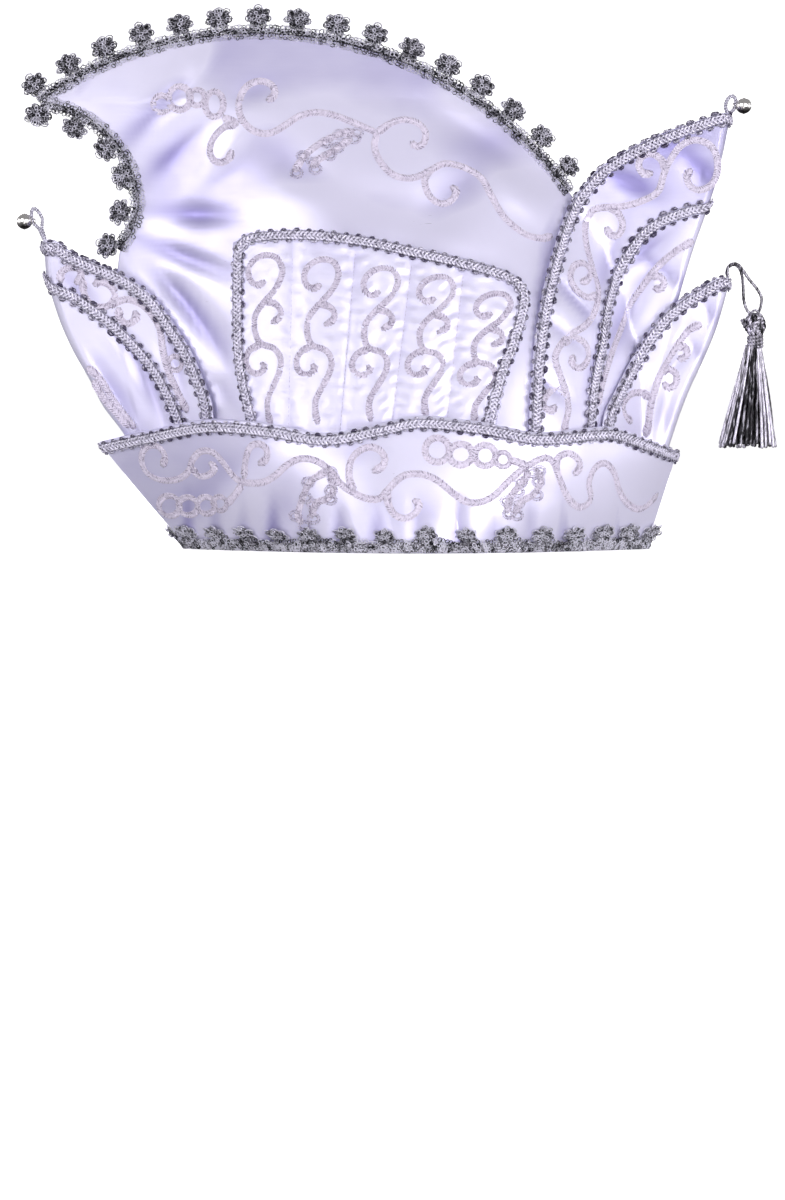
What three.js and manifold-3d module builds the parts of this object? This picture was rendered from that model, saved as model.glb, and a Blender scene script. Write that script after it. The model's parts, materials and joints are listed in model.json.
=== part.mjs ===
// Carnival prince hat: a tall wedge-shaped satin crown that ends in a cock's-comb crest with a curved beak,
// three folded wings that stand up from a flared cuff, a quilted panel on each side, silver braid and
// flower lace on every edge, two jingle bells and a tassel.
// Millimetres, +Z up, front towards -Y, the wearer's left towards +X.
// Both sides mirror each other across X = 0.
import * as THREE from "three";
import { mergeVertices } from "three/addons/utils/BufferGeometryUtils.js";
import Module from "manifold-3d";

const wasm = await Module();
wasm.setup();

// ---------------------------------------------------------------- driving dimensions

const RIM_CENTRE_Y = 16.8; // places the middle of the whole length, from bell to bell, at Y = 0
const RIM_HALF_LENGTH = 110; // crown at the rim, middle to front corner
const RIM_HALF_WIDTH = 81; // crown at the rim, middle to side
const CREST_CENTRE = { y: -80, z: 66 }; // the crest is one arc of a circle about this point
const CREST_RADIUS = 191.5;
const BEAK_TIP_Z = 224; // where the crest's arc ends in the beak
const SEAM_HALF = 1.6; // half the thickness of two stiffened layers sewn at a seam
const SEAM_GAP = 0.15; // half the gap between the two layers
const CROWN_WALL = 2;
const WING_WALL = 2;
const CUFF_WALL = 2;
const PANEL_WALL = 2.8; // a quilted panel is thicker than the plain walls
const WING_CLEARANCE = 1.4; // between a wing's free side and the crown
const BRAID = { width: 7, thick: 1.4, lift: 0.5 };
const LACE = { gap: 0.45, thick: 2, foot: 4.5, tip: 13.5 };
const CREST_FLOWER = { gap: 0.75, foot: 3.8, tip: 14, half: 2.5 };
const CUFF_BRAID_SHARE = 0.94; // how far up the cuff's height its braid lies
const HEM_FLOWERS = 30;
const CREST_TOP_FLOWERS = 16;
const BEAK_FLOWERS = 6;
const BELL = { radius: 3.75, wall: 0.45, slot: 0.9 };
const THREAD_RADIUS = 0.5;
const CORD_RADIUS = 0.6;

// ---------------------------------------------------------------- tables and smooth curves

// Rows of numbers under named columns, as one object for each row.
const table = (columns, rows) =>
  rows.map((row) => Object.fromEntries(columns.map((name, i) => [name, row[i]])));

const lerp = THREE.MathUtils.lerp;
const clamp = THREE.MathUtils.clamp;

// A smooth curve through a table's rows that never overshoots them: column `to` as a function of column `from`.
function curve(rows, from, to) {
  const sorted = [...rows].sort((a, b) => a[from] - b[from]);
  const x = sorted.map((row) => row[from]);
  const y = sorted.map((row) => row[to]);
  const last = x.length - 1;
  const slope = x.slice(1).map((value, i) => (y[i + 1] - y[i]) / (value - x[i]));
  const tangent = y.map((_, i) => {
    if (i === 0) return slope[0];
    if (i === last) return slope[last - 1];
    const [before, after] = [slope[i - 1], slope[i]];
    return before * after <= 0 ? 0 : (2 * before * after) / (before + after);
  });
  return (at) => {
    if (at <= x[0]) return y[0];
    if (at >= x[last]) return y[last];
    const i = x.findIndex((value) => value > at) - 1;
    const width = x[i + 1] - x[i];
    const t = (at - x[i]) / width;
    return (
      y[i] * (1 + 2 * t) * (1 - t) ** 2 +
      tangent[i] * width * t * (1 - t) ** 2 +
      y[i + 1] * t * t * (3 - 2 * t) +
      tangent[i + 1] * width * t * t * (t - 1)
    );
  };
}

// The crown's front seam, from the rim's front corner up round the hollow under the beak.
const FRONT_SEAM = table(
  ["z", "y"],
  [
    [0, -RIM_HALF_LENGTH],
    [25, -123],
    [60, -138],
    [95, -147],
    [125, -150],
    [147, -148.5],
    [160, -142.5],
    [173, -139.3],
    [186, -141.5],
    [199.5, -148],
    [210.5, -158],
    [218.5, -170.5],
    [BEAK_TIP_Z, -188.2],
  ],
);

// How the crown's level sections change with height: pointed towards the beak, blunt towards the back.
const CROWN_SECTION = table(
  ["z", "frontPower", "rearPower"],
  [
    [0, 0.95, 2],
    [30, 1.05, 2.5],
    [65, 1.3, 4.4],
    [110, 1.5, 4.2],
    [160, 1.5, 3.2],
    [200, 1.5, 2.5],
    [258, 1.5, 2],
  ],
);

// The cuff leans out to its upper edge: seam corners and half width of its inner face.
const CUFF_SECTION = table(
  ["z", "front", "rear", "half", "frontNose", "rearNose", "frontPower", "rearPower"],
  [
    [0, -111.5, 111.5, 80, 1.6, 1.6, 0.95, 2],
    [25, -133, 119.5, 75, 5.5, 3.5, 1.05, 2.8],
    [50, -153.5, 127.5, 68, 8.6, 5.2, 1.12, 3.2],
    [68, -168, 133, 63, 9.5, 5.8, 1.15, 3.2],
  ],
);

// The cuff's wavy upper edge.
const CUFF_EDGE = table(
  ["y", "z"],
  [
    [-162, 53],
    [-132, 59],
    [-95, 65],
    [-72, 63],
    [-46, 58.5],
    [-18, 63],
    [2, 67],
    [30, 64],
    [60, 58.5],
    [92, 61],
    [112, 55],
    [132, 48],
  ],
);

// Each wing: the folded nose, the free edge, and half the nose's inner width.
const FRONT_WING = table(
  ["z", "nose", "edge", "noseHalf"],
  [
    [22, -124.5, -94, 3.4],
    [45, -138.5, -97.5, 4.8],
    [60, -148.5, -101.5, 5],
    [72, -157.5, -102.5, 5.1],
    [84, -163.5, -106.8, 5.2],
    [99, -172, -113.3, 5.6],
    [113, -178.3, -122.3, 6.5],
    [126, -182.6, -132.3, 7.8],
    [136, -185.3, -145.5, 8.6],
    [147, -186.3, -171, 9.3],
    [154, -187.3, -181, 9.8],
  ],
);
const TALL_WING = table(
  ["z", "nose", "edge", "noseHalf"],
  [
    [22, 112.9, 54, 2.2],
    [60, 117.5, 55.3, 2.6],
    [94.5, 122.5, 57.3, 2.8],
    [127, 131, 62.3, 3],
    [150.5, 138, 68.5, 3.2],
    [163.5, 142.6, 72.8, 3.5],
    [174, 146.2, 77.8, 4.2],
    [183, 149, 84.8, 5],
    [191, 150.8, 92.3, 5.8],
    [198.5, 152.6, 104.3, 6.5],
    [206.5, 154.2, 119.8, 7.2],
    [213, 155.4, 138.3, 7.7],
    [217, 156.2, 150, 7.9],
  ],
);
const LOW_WING = table(
  ["z", "nose", "edge", "noseHalf"],
  [
    [26, 115.6, 88, 4.9],
    [40, 121.8, 89.5, 5.2],
    [51.5, 125.8, 91, 5.4],
    [65.5, 130.4, 92.3, 5.4],
    [80, 136, 98.8, 5.4],
    [94.5, 142.8, 106.8, 5.4],
    [109, 148.8, 115.8, 5.6],
    [122, 152.8, 127.8, 5.8],
    [130, 154.8, 140.8, 6.1],
    [135, 156, 149.5, 6.3],
  ],
);

// Braid lines sewn across a wing, from the cuff up to the nose.
const FRONT_INNER_BRAID = table(
  ["y", "z"],
  [
    [-118.5, 64],
    [-121.5, 71],
    [-130, 87.5],
    [-141.5, 101.5],
    [-154, 113],
    [-170, 124.5],
    [-181, 130.5],
  ],
);
const TALL_INNER_BRAID = table(
  ["y", "z"],
  [
    [85.5, 68],
    [87.3, 82.5],
    [91.3, 101],
    [93.8, 118],
    [98.8, 135],
    [108.3, 152],
    [119, 162],
    [131.8, 167.5],
    [141, 170],
  ],
);

// The quilted side panel's outline, front edge, top edge and rear edge, under its braid.
const PANEL_SIDES = table(
  ["z", "front", "rear"],
  [
    [24, -80, 31],
    [66, -84, 39],
    [84, -89, 43],
    [100, -91, 49],
    [118, -91.5, 54],
    [160, -91, 56],
  ],
);
const PANEL_TOP = table(
  ["y", "z"],
  [
    [-91, 152.5],
    [-82, 157],
    [-56, 158.5],
    [-30, 156],
    [-8, 151.5],
    [34, 142],
    [49, 136.5],
    [56, 129],
  ],
);

// How far the stiff panel stands off the crown, across its length from the front edge to the rear one.
const PANEL_STANDOFF = table(
  ["z", "front", "quarter", "middle", "rear"],
  [
    [24, 1, 1, 1, 1],
    [45, 6.5, 4.5, 1.5, 1],
    [66, 10.4, 8, 3.5, 1],
    [110, 12.5, 10.5, 6, 1.4],
    [160, 13.3, 12, 7.5, 1.6],
  ],
);

// Soft dents of the crown's sides: middle, depth, half length, half width and the long axis's slope in degrees.
const DENTS = table(
  ["y", "z", "depth", "long", "wide", "slope"],
  [
    [-118, 171, 2.4, 34, 8, -6],
    [-98, 196, 1.6, 30, 10, 58],
    [-134, 214, 1.2, 26, 8, 62],
    [-106, 140, 2.2, 30, 9, -52],
    [18, 178, 1.8, 34, 14, 48],
    [44, 158, 1.6, 26, 9, 72],
    [-30, 214, 1.2, 46, 16, 8],
  ],
);

// ---------------------------------------------------------------- surfaces, half widths over the side plane

const crownFrontBelowBeak = curve(FRONT_SEAM, "z", "y");
const crestReach = (z) => Math.sqrt(Math.max(CREST_RADIUS ** 2 - (z - CREST_CENTRE.z) ** 2, 0));
const CREST_TOP_Z = CREST_CENTRE.z + CREST_RADIUS;

const crownFront = (z) => (z > BEAK_TIP_Z ? CREST_CENTRE.y - crestReach(z) : crownFrontBelowBeak(z));
const crownRear = (z) =>
  z > CREST_CENTRE.z
    ? CREST_CENTRE.y + crestReach(z)
    : lerp(RIM_HALF_LENGTH, CREST_CENTRE.y + CREST_RADIUS, z / CREST_CENTRE.z);

// A level section's half width at share t of its length, 1 in the middle.
function bulge(t, frontPower, rearPower) {
  const share = clamp(t, 0, 1);
  if (share < 0.5) return Math.sin(Math.PI * share) ** frontPower;
  return 1 - (2 * share - 1) ** rearPower;
}

const crownPowerFront = curve(CROWN_SECTION, "z", "frontPower");
const crownPowerRear = curve(CROWN_SECTION, "z", "rearPower");

// Half width of the crown's plain wedge, without its dents, grown or shrunk by `offset`.
function wedge(y, z, offset = 0) {
  const front = crownFront(z);
  const t = (y - front) / (crownRear(z) - front);
  const half = (RIM_HALF_WIDTH - SEAM_HALF) * (1 - z / CREST_TOP_Z);
  return half * bulge(t, crownPowerFront(z), crownPowerRear(z)) + SEAM_HALF + offset;
}

// How far the dents pull the crown's side in at a place; they fade out towards the seams.
function dent(y, z, half) {
  const sum = DENTS.reduce((total, d) => {
    const angle = THREE.MathUtils.degToRad(d.slope);
    const along = (y - d.y) * Math.cos(angle) + (z - d.z) * Math.sin(angle);
    const across = (z - d.z) * Math.cos(angle) - (y - d.y) * Math.sin(angle);
    return total + d.depth * Math.exp(-((along / d.long) ** 2) - (across / d.wide) ** 2);
  }, 0);
  return sum * clamp((half - SEAM_HALF) / 8, 0, 1);
}

function crownSide(y, z) {
  const half = wedge(y, z);
  return half - dent(y, z, half);
}

const cuffValue = Object.fromEntries(
  ["front", "rear", "half", "frontNose", "rearNose", "frontPower", "rearPower"].map((name) => [
    name,
    curve(CUFF_SECTION, "z", name),
  ]),
);

// The cuff's seam corners and half width, `offset` outside its inner face.
const cuffFront = (z, offset = 0) => cuffValue.front(z) - offset * 1.25;
const cuffRear = (z, offset = 0) => cuffValue.rear(z) + offset * 1.25;
function cuffSide(t, z, offset = 0) {
  const nose = lerp(cuffValue.frontNose(z), cuffValue.rearNose(z), t);
  return cuffValue.half(z) * bulge(t, cuffValue.frontPower(z), cuffValue.rearPower(z)) + nose + offset;
}
const cuffEdge = curve(CUFF_EDGE, "y", "z");

// Soft maximum: follows the larger value, rounding the change between them.
const roundedMax = (a, b, round) => (a + b + Math.sqrt((a - b) ** 2 + round ** 2)) / 2;

// A wing's inner face: flat beside its nose, then lying over whatever is under it.
const wingOver = (rows, under) => {
  const noseHalf = curve(rows, "z", "noseHalf");
  return (y, z) => roundedMax(noseHalf(z), under(y, z) + WING_CLEARANCE, 5);
};
const withinCrown = (y, z) => y > crownFront(z) && y < crownRear(z) && z < CREST_TOP_Z;
const crownUnder = (y, z) => (withinCrown(y, z) ? wedge(y, z) : 0);

const frontWing = { rows: FRONT_WING, facing: -1, side: wingOver(FRONT_WING, crownUnder) };
const tallWing = { rows: TALL_WING, facing: 1, side: wingOver(TALL_WING, crownUnder) };
const tallNose = curve(TALL_WING, "z", "nose");
const lowWing = {
  rows: LOW_WING,
  facing: 1,
  side: wingOver(LOW_WING, (y, z) => {
    const past = clamp((y - tallNose(z) + 2) / 10, 0, 1);
    return (tallWing.side(y, z) + WING_WALL) * (1 - past * past * (3 - 2 * past));
  }),
};

// ---------------------------------------------------------------- closed meshes from grids of points

const point = (x, y, z) => new THREE.Vector3(x, y, z);

function geometryOf(points, triangles) {
  const geometry = new THREE.BufferGeometry().setFromPoints(points);
  geometry.setIndex(triangles.flat());
  return geometry;
}

// Adds a grid of points to a mesh's lists; the faces look along (column step) x (row step).
function addGrid(mesh, rows, { around = false, flip = false } = {}) {
  const start = mesh.points.length;
  const columns = rows[0].length;
  mesh.points.push(...rows.flat());
  const at = (r, c) => start + r * columns + (c % columns);
  for (let r = 0; r + 1 < rows.length; r++)
    for (let c = 0; c + (around ? 0 : 1) < columns; c++) {
      const [a, b, d, e] = [at(r, c), at(r, c + 1), at(r + 1, c + 1), at(r + 1, c)];
      mesh.triangles.push(...(flip ? [[a, d, b], [a, e, d]] : [[a, b, d], [a, d, e]]));
    }
}

// Welds the faces of a closed body that was made from several grids.
function closedBody(mesh) {
  const geometry = mergeVertices(geometryOf(mesh.points, mesh.triangles), 1e-4);
  geometry.computeVertexNormals();
  return geometry;
}

// A wall between an outer and an inner grid, with rims on its open edges.
function wall(outer, inner, around = false) {
  const mesh = { points: [], triangles: [] };
  const last = outer.length - 1;
  addGrid(mesh, outer, { around });
  addGrid(mesh, inner, { around, flip: true });
  addGrid(mesh, [inner[0], outer[0]], { around });
  addGrid(mesh, [outer[last], inner[last]], { around });
  if (!around) {
    const end = outer[0].length - 1;
    addGrid(mesh, [outer.map((row) => row[0]), inner.map((row) => row[0])], {});
    addGrid(mesh, [inner.map((row) => row[end]), outer.map((row) => row[end])], {});
  }
  return closedBody(mesh);
}

// A flat ribbon that follows stations { at, across, out } and stands off the surface by `lift`.
function ribbon(stations, { lift = BRAID.lift, closed = false } = {}) {
  const { width, thick } = BRAID;
  const corner = (s, side, height) =>
    s.at.clone().addScaledVector(s.across, (side * width) / 2).addScaledVector(s.out, height);
  const loops = stations.map((s) => [
    corner(s, -1, lift),
    corner(s, 1, lift),
    corner(s, 1, lift + thick),
    corner(s, -1, lift + thick),
  ]);
  const mesh = { points: [], triangles: [] };
  addGrid(mesh, closed ? [...loops, loops[0]] : loops, { around: true });
  if (!closed)
    for (const [loop, flip] of [[loops[0], true], [loops[loops.length - 1], false]]) {
      const start = mesh.points.length;
      mesh.points.push(...loop);
      for (const [a, b, c] of [[0, 1, 2], [0, 2, 3]])
        mesh.triangles.push((flip ? [a, c, b] : [a, b, c]).map((i) => start + i));
    }
  const body = closedBody(mesh);
  return signedVolume(body) < 0 ? turned(body) : body;
}

function signedVolume(geometry) {
  const position = geometry.getAttribute("position");
  const index = geometry.getIndex();
  const corner = (i) => new THREE.Vector3().fromBufferAttribute(position, index.getX(i));
  let sum = 0;
  for (let i = 0; i < index.count; i += 3) sum += corner(i).dot(corner(i + 1).cross(corner(i + 2))) / 6;
  return sum;
}

function turned(geometry) {
  const index = geometry.getIndex().array;
  for (let i = 0; i < index.length; i += 3) [index[i + 1], index[i + 2]] = [index[i + 2], index[i + 1]];
  geometry.computeVertexNormals();
  return geometry;
}

// ---------------------------------------------------------------- booleans

function solidOf(geometry) {
  const bare = geometry.clone();
  bare.deleteAttribute("normal");
  bare.deleteAttribute("uv");
  const merged = mergeVertices(bare, 1e-4);
  return new wasm.Manifold(
    new wasm.Mesh({
      numProp: 3,
      vertProperties: new Float32Array(merged.getAttribute("position").array),
      triVerts: new Uint32Array(merged.getIndex().array),
    }),
  );
}

function geometryFrom(solid) {
  const mesh = solid.getMesh();
  const geometry = new THREE.BufferGeometry();
  geometry.setAttribute("position", new THREE.BufferAttribute(new Float32Array(mesh.vertProperties), 3));
  geometry.setIndex(new THREE.BufferAttribute(new Uint32Array(mesh.triVerts), 1));
  geometry.computeVertexNormals();
  return geometry;
}

// ---------------------------------------------------------------- materials and the group

const finish = (color, roughness, metalness = 0) =>
  new THREE.MeshStandardMaterial({ color, roughness, metalness });
const SATIN = finish("#e3dff3", 0.35);
const QUILTED = finish("#e9e4f4", 0.4);
const BRAIDED = finish("#b9b6c4", 0.35, 0.7);
const LACED = finish("#9a98a4", 0.4, 0.8);
const NICKEL = finish("#cfcdc6", 0.15, 1);
const CORDED = finish("#8b8992", 0.35, 0.8);

const hat = new THREE.Group();
hat.position.y = RIM_CENTRE_Y;

function add(name, geometry, material, parent = hat) {
  const mesh = new THREE.Mesh(geometry, material);
  mesh.name = name;
  parent.add(mesh);
  return mesh;
}

// ---------------------------------------------------------------- crown

// Shares of a section's length, closer together near both seams.
const seamSpaced = (count) =>
  Array.from({ length: count + 1 }, (_, i) => (1 - Math.cos((Math.PI * i) / count)) / 2);

const CROWN_COLUMNS = 16;
const CROWN_LEVELS = [
  0, 14, 28, 44, 60, 78, 96, 114, 130, 144, 154, 164, 173, 182, 190, 198, 206, 213, 219, BEAK_TIP_Z,
  230, 236, 242, 247, 251, 254.5, 256.8,
];

// The crown's inner face, one wall thickness in from the outer one; near the seams the two layers meet.
function crownInside(y, z) {
  const step = 0.5;
  const slopeY = (crownSide(y + step, z) - crownSide(y - step, z)) / (2 * step);
  const slopeZ = (crownSide(y, z + step) - crownSide(y, z - step)) / (2 * step);
  const across = CROWN_WALL * Math.min(Math.hypot(1, slopeY, slopeZ), 2.2);
  return Math.max(crownSide(y, z) - across, SEAM_GAP);
}

// One half of the crown, a curved sheet that is sewn to the other half along the crest and both seams.
function crownHalf(mirror) {
  const grid = (side) =>
    CROWN_LEVELS.map((z) =>
      seamSpaced(CROWN_COLUMNS).map((share) => {
        const y = lerp(crownFront(z), crownRear(z), mirror > 0 ? share : 1 - share);
        return point(mirror * side(y, z), y, z);
      }),
    );
  return wall(grid(crownSide), grid(crownInside));
}

add("crown_left", crownHalf(1), SATIN);
add("crown_right", crownHalf(-1), SATIN);

// ---------------------------------------------------------------- cuff

const CUFF_COLUMNS = 26;
const CUFF_ROWS = 5;

// A point on the cuff at share t of its length and share v of its height, `offset` outside its inner face.
function cuffPoint(t, v, offset, mirror = 1) {
  const middleZ = v * 60;
  const edge = cuffEdge(lerp(cuffFront(middleZ), cuffRear(middleZ), t));
  const z = v * edge;
  return point(mirror * cuffSide(t, z, offset), lerp(cuffFront(z, offset), cuffRear(z, offset), t), z);
}

function cuffGrid(offset) {
  return Array.from({ length: CUFF_ROWS + 1 }, (_, r) => {
    const left = seamSpaced(CUFF_COLUMNS).map((t) => cuffPoint(t, r / CUFF_ROWS, offset));
    return [...left, ...left.map((p) => point(-p.x, p.y, p.z)).reverse()];
  });
}

add("cuff", wall(cuffGrid(CUFF_WALL), cuffGrid(0), true), SATIN);

// ---------------------------------------------------------------- wings

const WING_SIDE_COLUMNS = 9;
const WING_LEVELS = 20;

// A wing folded at its nose: level rows from one free edge round the nose to the other.
function wingWall({ rows, facing, side }) {
  const nose = curve(rows, "z", "nose");
  const edge = curve(rows, "z", "edge");
  const noseHalf = curve(rows, "z", "noseHalf");
  const lowest = rows[0].z;
  const highest = rows[rows.length - 1].z;
  const levels = Array.from({ length: WING_LEVELS + 1 }, (_, i) =>
    lerp(lowest, highest, 1 - (1 - i / WING_LEVELS) ** 1.25),
  );
  const row = (z, offset) => {
    const noseY = nose(z) - facing * (WING_WALL - offset);
    const half = [];
    for (let i = 0; i <= WING_SIDE_COLUMNS; i++) {
      const y = lerp(noseY, edge(z), i / WING_SIDE_COLUMNS);
      half.push(point((i ? side(y, z) : noseHalf(z)) + offset, y, z));
    }
    const mirrored = half.map((p) => point(-p.x, p.y, p.z));
    return facing < 0 ? [...mirrored.reverse(), ...half] : [...half.reverse(), ...mirrored];
  };
  return wall(
    levels.map((z) => row(z, WING_WALL)),
    levels.map((z) => row(z, 0)),
  );
}

add("front_wing", wingWall(frontWing), SATIN);
add("rear_wing_tall", wingWall(tallWing), SATIN);
add("rear_wing_low", wingWall(lowWing), SATIN);

// ---------------------------------------------------------------- quilted side panels

const panelFront = curve(PANEL_SIDES, "z", "front");
const panelRear = curve(PANEL_SIDES, "z", "rear");
const panelTop = curve(PANEL_TOP, "y", "z");
const PANEL_FOOT_Z = PANEL_SIDES[0].z;
const standoff = ["front", "quarter", "middle", "rear"].map((name) => curve(PANEL_STANDOFF, "z", name));
const STANDOFF_SHARES = [0, 0.25, 0.5, 1];

function panelSide(y, z) {
  const share = (y - panelFront(z)) / (panelRear(z) - panelFront(z));
  const across = curve(
    STANDOFF_SHARES.map((u, i) => ({ u, stand: standoff[i](z) })),
    "u",
    "stand",
  );
  return wedge(y, z) + across(share);
}

function panelPoint(u, v, offset, mirror) {
  const top = panelTop(lerp(panelFront(150), panelRear(150), u));
  const z = lerp(PANEL_FOOT_Z, top, v);
  const y = lerp(panelFront(z), panelRear(z), u);
  return point(mirror * (panelSide(y, z) + offset), y, z);
}

function sidePanel(mirror) {
  const grid = (offset) =>
    Array.from({ length: 9 }, (_, r) =>
      seamSpaced(13).map((u) => panelPoint(mirror > 0 ? u : 1 - u, r / 8, offset, mirror)),
    );
  return wall(grid(PANEL_WALL), grid(0));
}

add("side_panel_left", sidePanel(1), QUILTED);
add("side_panel_right", sidePanel(-1), QUILTED);

// ---------------------------------------------------------------- braids

// Stations along a line in the side plane, lying on a surface given as a half width.
function stationsOn(surface, path, count) {
  const line = new THREE.SplineCurve(path.map((p) => new THREE.Vector2(p.y, p.z)));
  const at = (u) => {
    const p = line.getPointAt(u);
    return point(surface(p.x, p.y), p.x, p.y);
  };
  const step = 0.5;
  return Array.from({ length: count + 1 }, (_, i) => {
    const u = i / count;
    const p = at(u);
    const tangent = at(Math.min(u + 0.01, 1)).sub(at(Math.max(u - 0.01, 0))).normalize();
    const out = point(
      1,
      -(surface(p.y + step, p.z) - surface(p.y - step, p.z)) / (2 * step),
      -(surface(p.y, p.z + step) - surface(p.y, p.z - step)) / (2 * step),
    ).normalize();
    return { at: p, across: tangent.clone().cross(out).normalize(), out };
  });
}

// The same stations on the other side of the hat, in the opposite order.
const mirrored = (stations) =>
  stations
    .map((s) => ({
      at: point(-s.at.x, s.at.y, s.at.z),
      across: point(-s.across.x, s.across.y, s.across.z),
      out: point(-s.out.x, s.out.y, s.out.z),
    }))
    .reverse();

// A braid that climbs one side of a wing, crosses its nose at height noseZ and comes down the other side.
function braidOverNose({ rows, facing, side }, path, noseZ, count = 15) {
  const nose = curve(rows, "z", "nose");
  const noseHalf = curve(rows, "z", "noseHalf");
  const climb = stationsOn((y, z) => side(y, z) + WING_WALL, path, count);
  const top = climb[climb.length - 1];
  const rise = point(0, (nose(noseZ + 1) - nose(noseZ - 1)) / 2, 1).normalize();
  const across = rise.clone().multiplyScalar(Math.sign(top.across.z));
  const out = point(1, 0, 0).cross(rise).multiplyScalar(-facing);
  const cornerZ = lerp(top.at.z, noseZ, 0.6);
  const corner = {
    at: point(noseHalf(cornerZ) + WING_WALL, nose(cornerZ), cornerZ),
    across: across.clone().add(top.across).normalize(),
    out: out.clone().add(point(1, 0, 0)).normalize(),
  };
  const up = [...climb, corner];
  return [...up, { at: point(0, nose(noseZ), noseZ), across, out }, ...mirrored(up)];
}

// A line just inside a wing's free edge, from the cuff to the tip.
function edgeLine({ rows, facing }, fromZ, inset) {
  const edge = curve(rows, "z", "edge");
  const tip = rows[rows.length - 1];
  const count = 10;
  return Array.from({ length: count + 1 }, (_, i) => {
    const z = lerp(fromZ, tip.z, i / count);
    const slope = (edge(z + 1) - edge(z - 1)) / 2;
    const length = Math.hypot(1, slope);
    return { y: edge(z) + (facing * inset) / length, z: z - (Math.abs(slope) * inset) / length };
  });
}

const EDGE_INSET = BRAID.width / 2 + 0.2;
// Each braid's wing, its line, the height where it crosses the nose, and its lift over the wing's creases.
const wingBraids = table(
  ["name", "wing", "path", "noseZ", "lift"],
  [
    ["front_wing_edge_braid", frontWing, edgeLine(frontWing, 70, EDGE_INSET), 150.5, 1.8],
    ["front_wing_inner_braid", frontWing, FRONT_INNER_BRAID, 137, 1.6],
    ["tall_wing_edge_braid", tallWing, edgeLine(tallWing, 67, EDGE_INSET), 213.5, 1.8],
    ["tall_wing_inner_braid", tallWing, TALL_INNER_BRAID, 173, 2],
    ["low_wing_edge_braid", lowWing, edgeLine(lowWing, 69, EDGE_INSET), 131.5, 2.9],
  ],
);
for (const { name, wing, path, noseZ, lift } of wingBraids)
  add(name, ribbon(braidOverNose(wing, path, noseZ), { lift }), BRAIDED);

// The braid round a side panel: up its front edge, over the top and down its rear edge.
const PANEL_BRAID = table(
  ["y", "z"],
  [
    [-81.5, 69],
    [-86.3, 84],
    [-88.3, 100],
    [-88.8, 118],
    [-88.6, 140],
    [-87, 149],
    [-79, 154],
    [-56, 155.7],
    [-30, 153.3],
    [-8, 148.8],
    [32, 139.2],
    [46, 134.2],
    [52, 128],
    [51.3, 118],
    [46.3, 101],
    [40.5, 86],
    [36.5, 71],
  ],
);
const panelBraid = stationsOn((y, z) => panelSide(y, z) + PANEL_WALL, PANEL_BRAID, 40);
add("side_panel_braid_left", ribbon(panelBraid), BRAIDED);
add("side_panel_braid_right", ribbon(mirrored(panelBraid)), BRAIDED);

// Stations round the whole cuff at share v of its height.
function cuffRing(shares, v) {
  const at = (t) => cuffPoint(t, v, CUFF_WALL);
  const left = shares.map((t) => {
    const along = at(Math.min(t + 0.004, 1)).sub(at(Math.max(t - 0.004, 0))).normalize();
    const rise = cuffPoint(t, v, CUFF_WALL).sub(cuffPoint(t, Math.max(v - 0.1, 0) || 0.1, CUFF_WALL));
    const across = (v > 0.1 ? rise : rise.negate()).normalize();
    const out = along.clone().cross(across).normalize();
    return { at: at(t), across, out };
  });
  return [...left, ...mirrored(left)];
}

add("cuff_braid", ribbon(cuffRing(seamSpaced(30), CUFF_BRAID_SHARE), { closed: true }), BRAIDED);

// ---------------------------------------------------------------- flower lace

// Height of scalloped lace at share s of one repeat: a low foot with one round flower.
const scallop = (s, foot, tip) => lerp(foot, tip, Math.sin(Math.PI * clamp((s - 0.2) / 0.6, 0, 1)) ** 0.6);

// Lace round the rim, its flowers pointing up.
function hemLace() {
  const perSide = HEM_FLOWERS / 2;
  const steps = perSide * 6;
  const quick = seamSpaced(200).map((t) => cuffPoint(t, 0, CUFF_WALL));
  const lengths = quick.map((p, i) => (i ? p.distanceTo(quick[i - 1]) : 0));
  lengths.forEach((_, i) => i && (lengths[i] += lengths[i - 1]));
  const shareAt = curve(
    lengths.map((length, i) => ({ length, t: seamSpaced(200)[i] })),
    "length",
    "t",
  );
  const total = lengths[200];
  const shares = Array.from({ length: steps + 1 }, (_, i) => shareAt((total * i) / steps));
  const at = (t, z, offset) =>
    point(cuffSide(t, z, offset), lerp(cuffFront(z, offset), cuffRear(z, offset), t), z);
  const grid = (offset) =>
    [() => 0, (s) => scallop(s, LACE.foot, LACE.tip)].map((heightOf) => {
      const left = shares.map((t, i) => at(t, heightOf((i % 6) / 6), offset));
      return [...left, ...left.map((p) => point(-p.x, p.y, p.z)).reverse()];
    });
  const inside = CUFF_WALL + LACE.gap;
  return wall(grid(inside + LACE.thick), grid(inside), true);
}

add("hem_lace", hemLace(), LACED);

// The line that the crest lace follows: from the tall wing over the crest, round the beak and down its hollow.
const crestAt = (angle) =>
  new THREE.Vector2(
    CREST_CENTRE.y + CREST_RADIUS * Math.sin(angle),
    CREST_CENTRE.z + CREST_RADIUS * Math.cos(angle),
  );
const CREST_LACE = { fromAngle: 0.945, toAngle: -0.605, beakFootZ: 149 };

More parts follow.
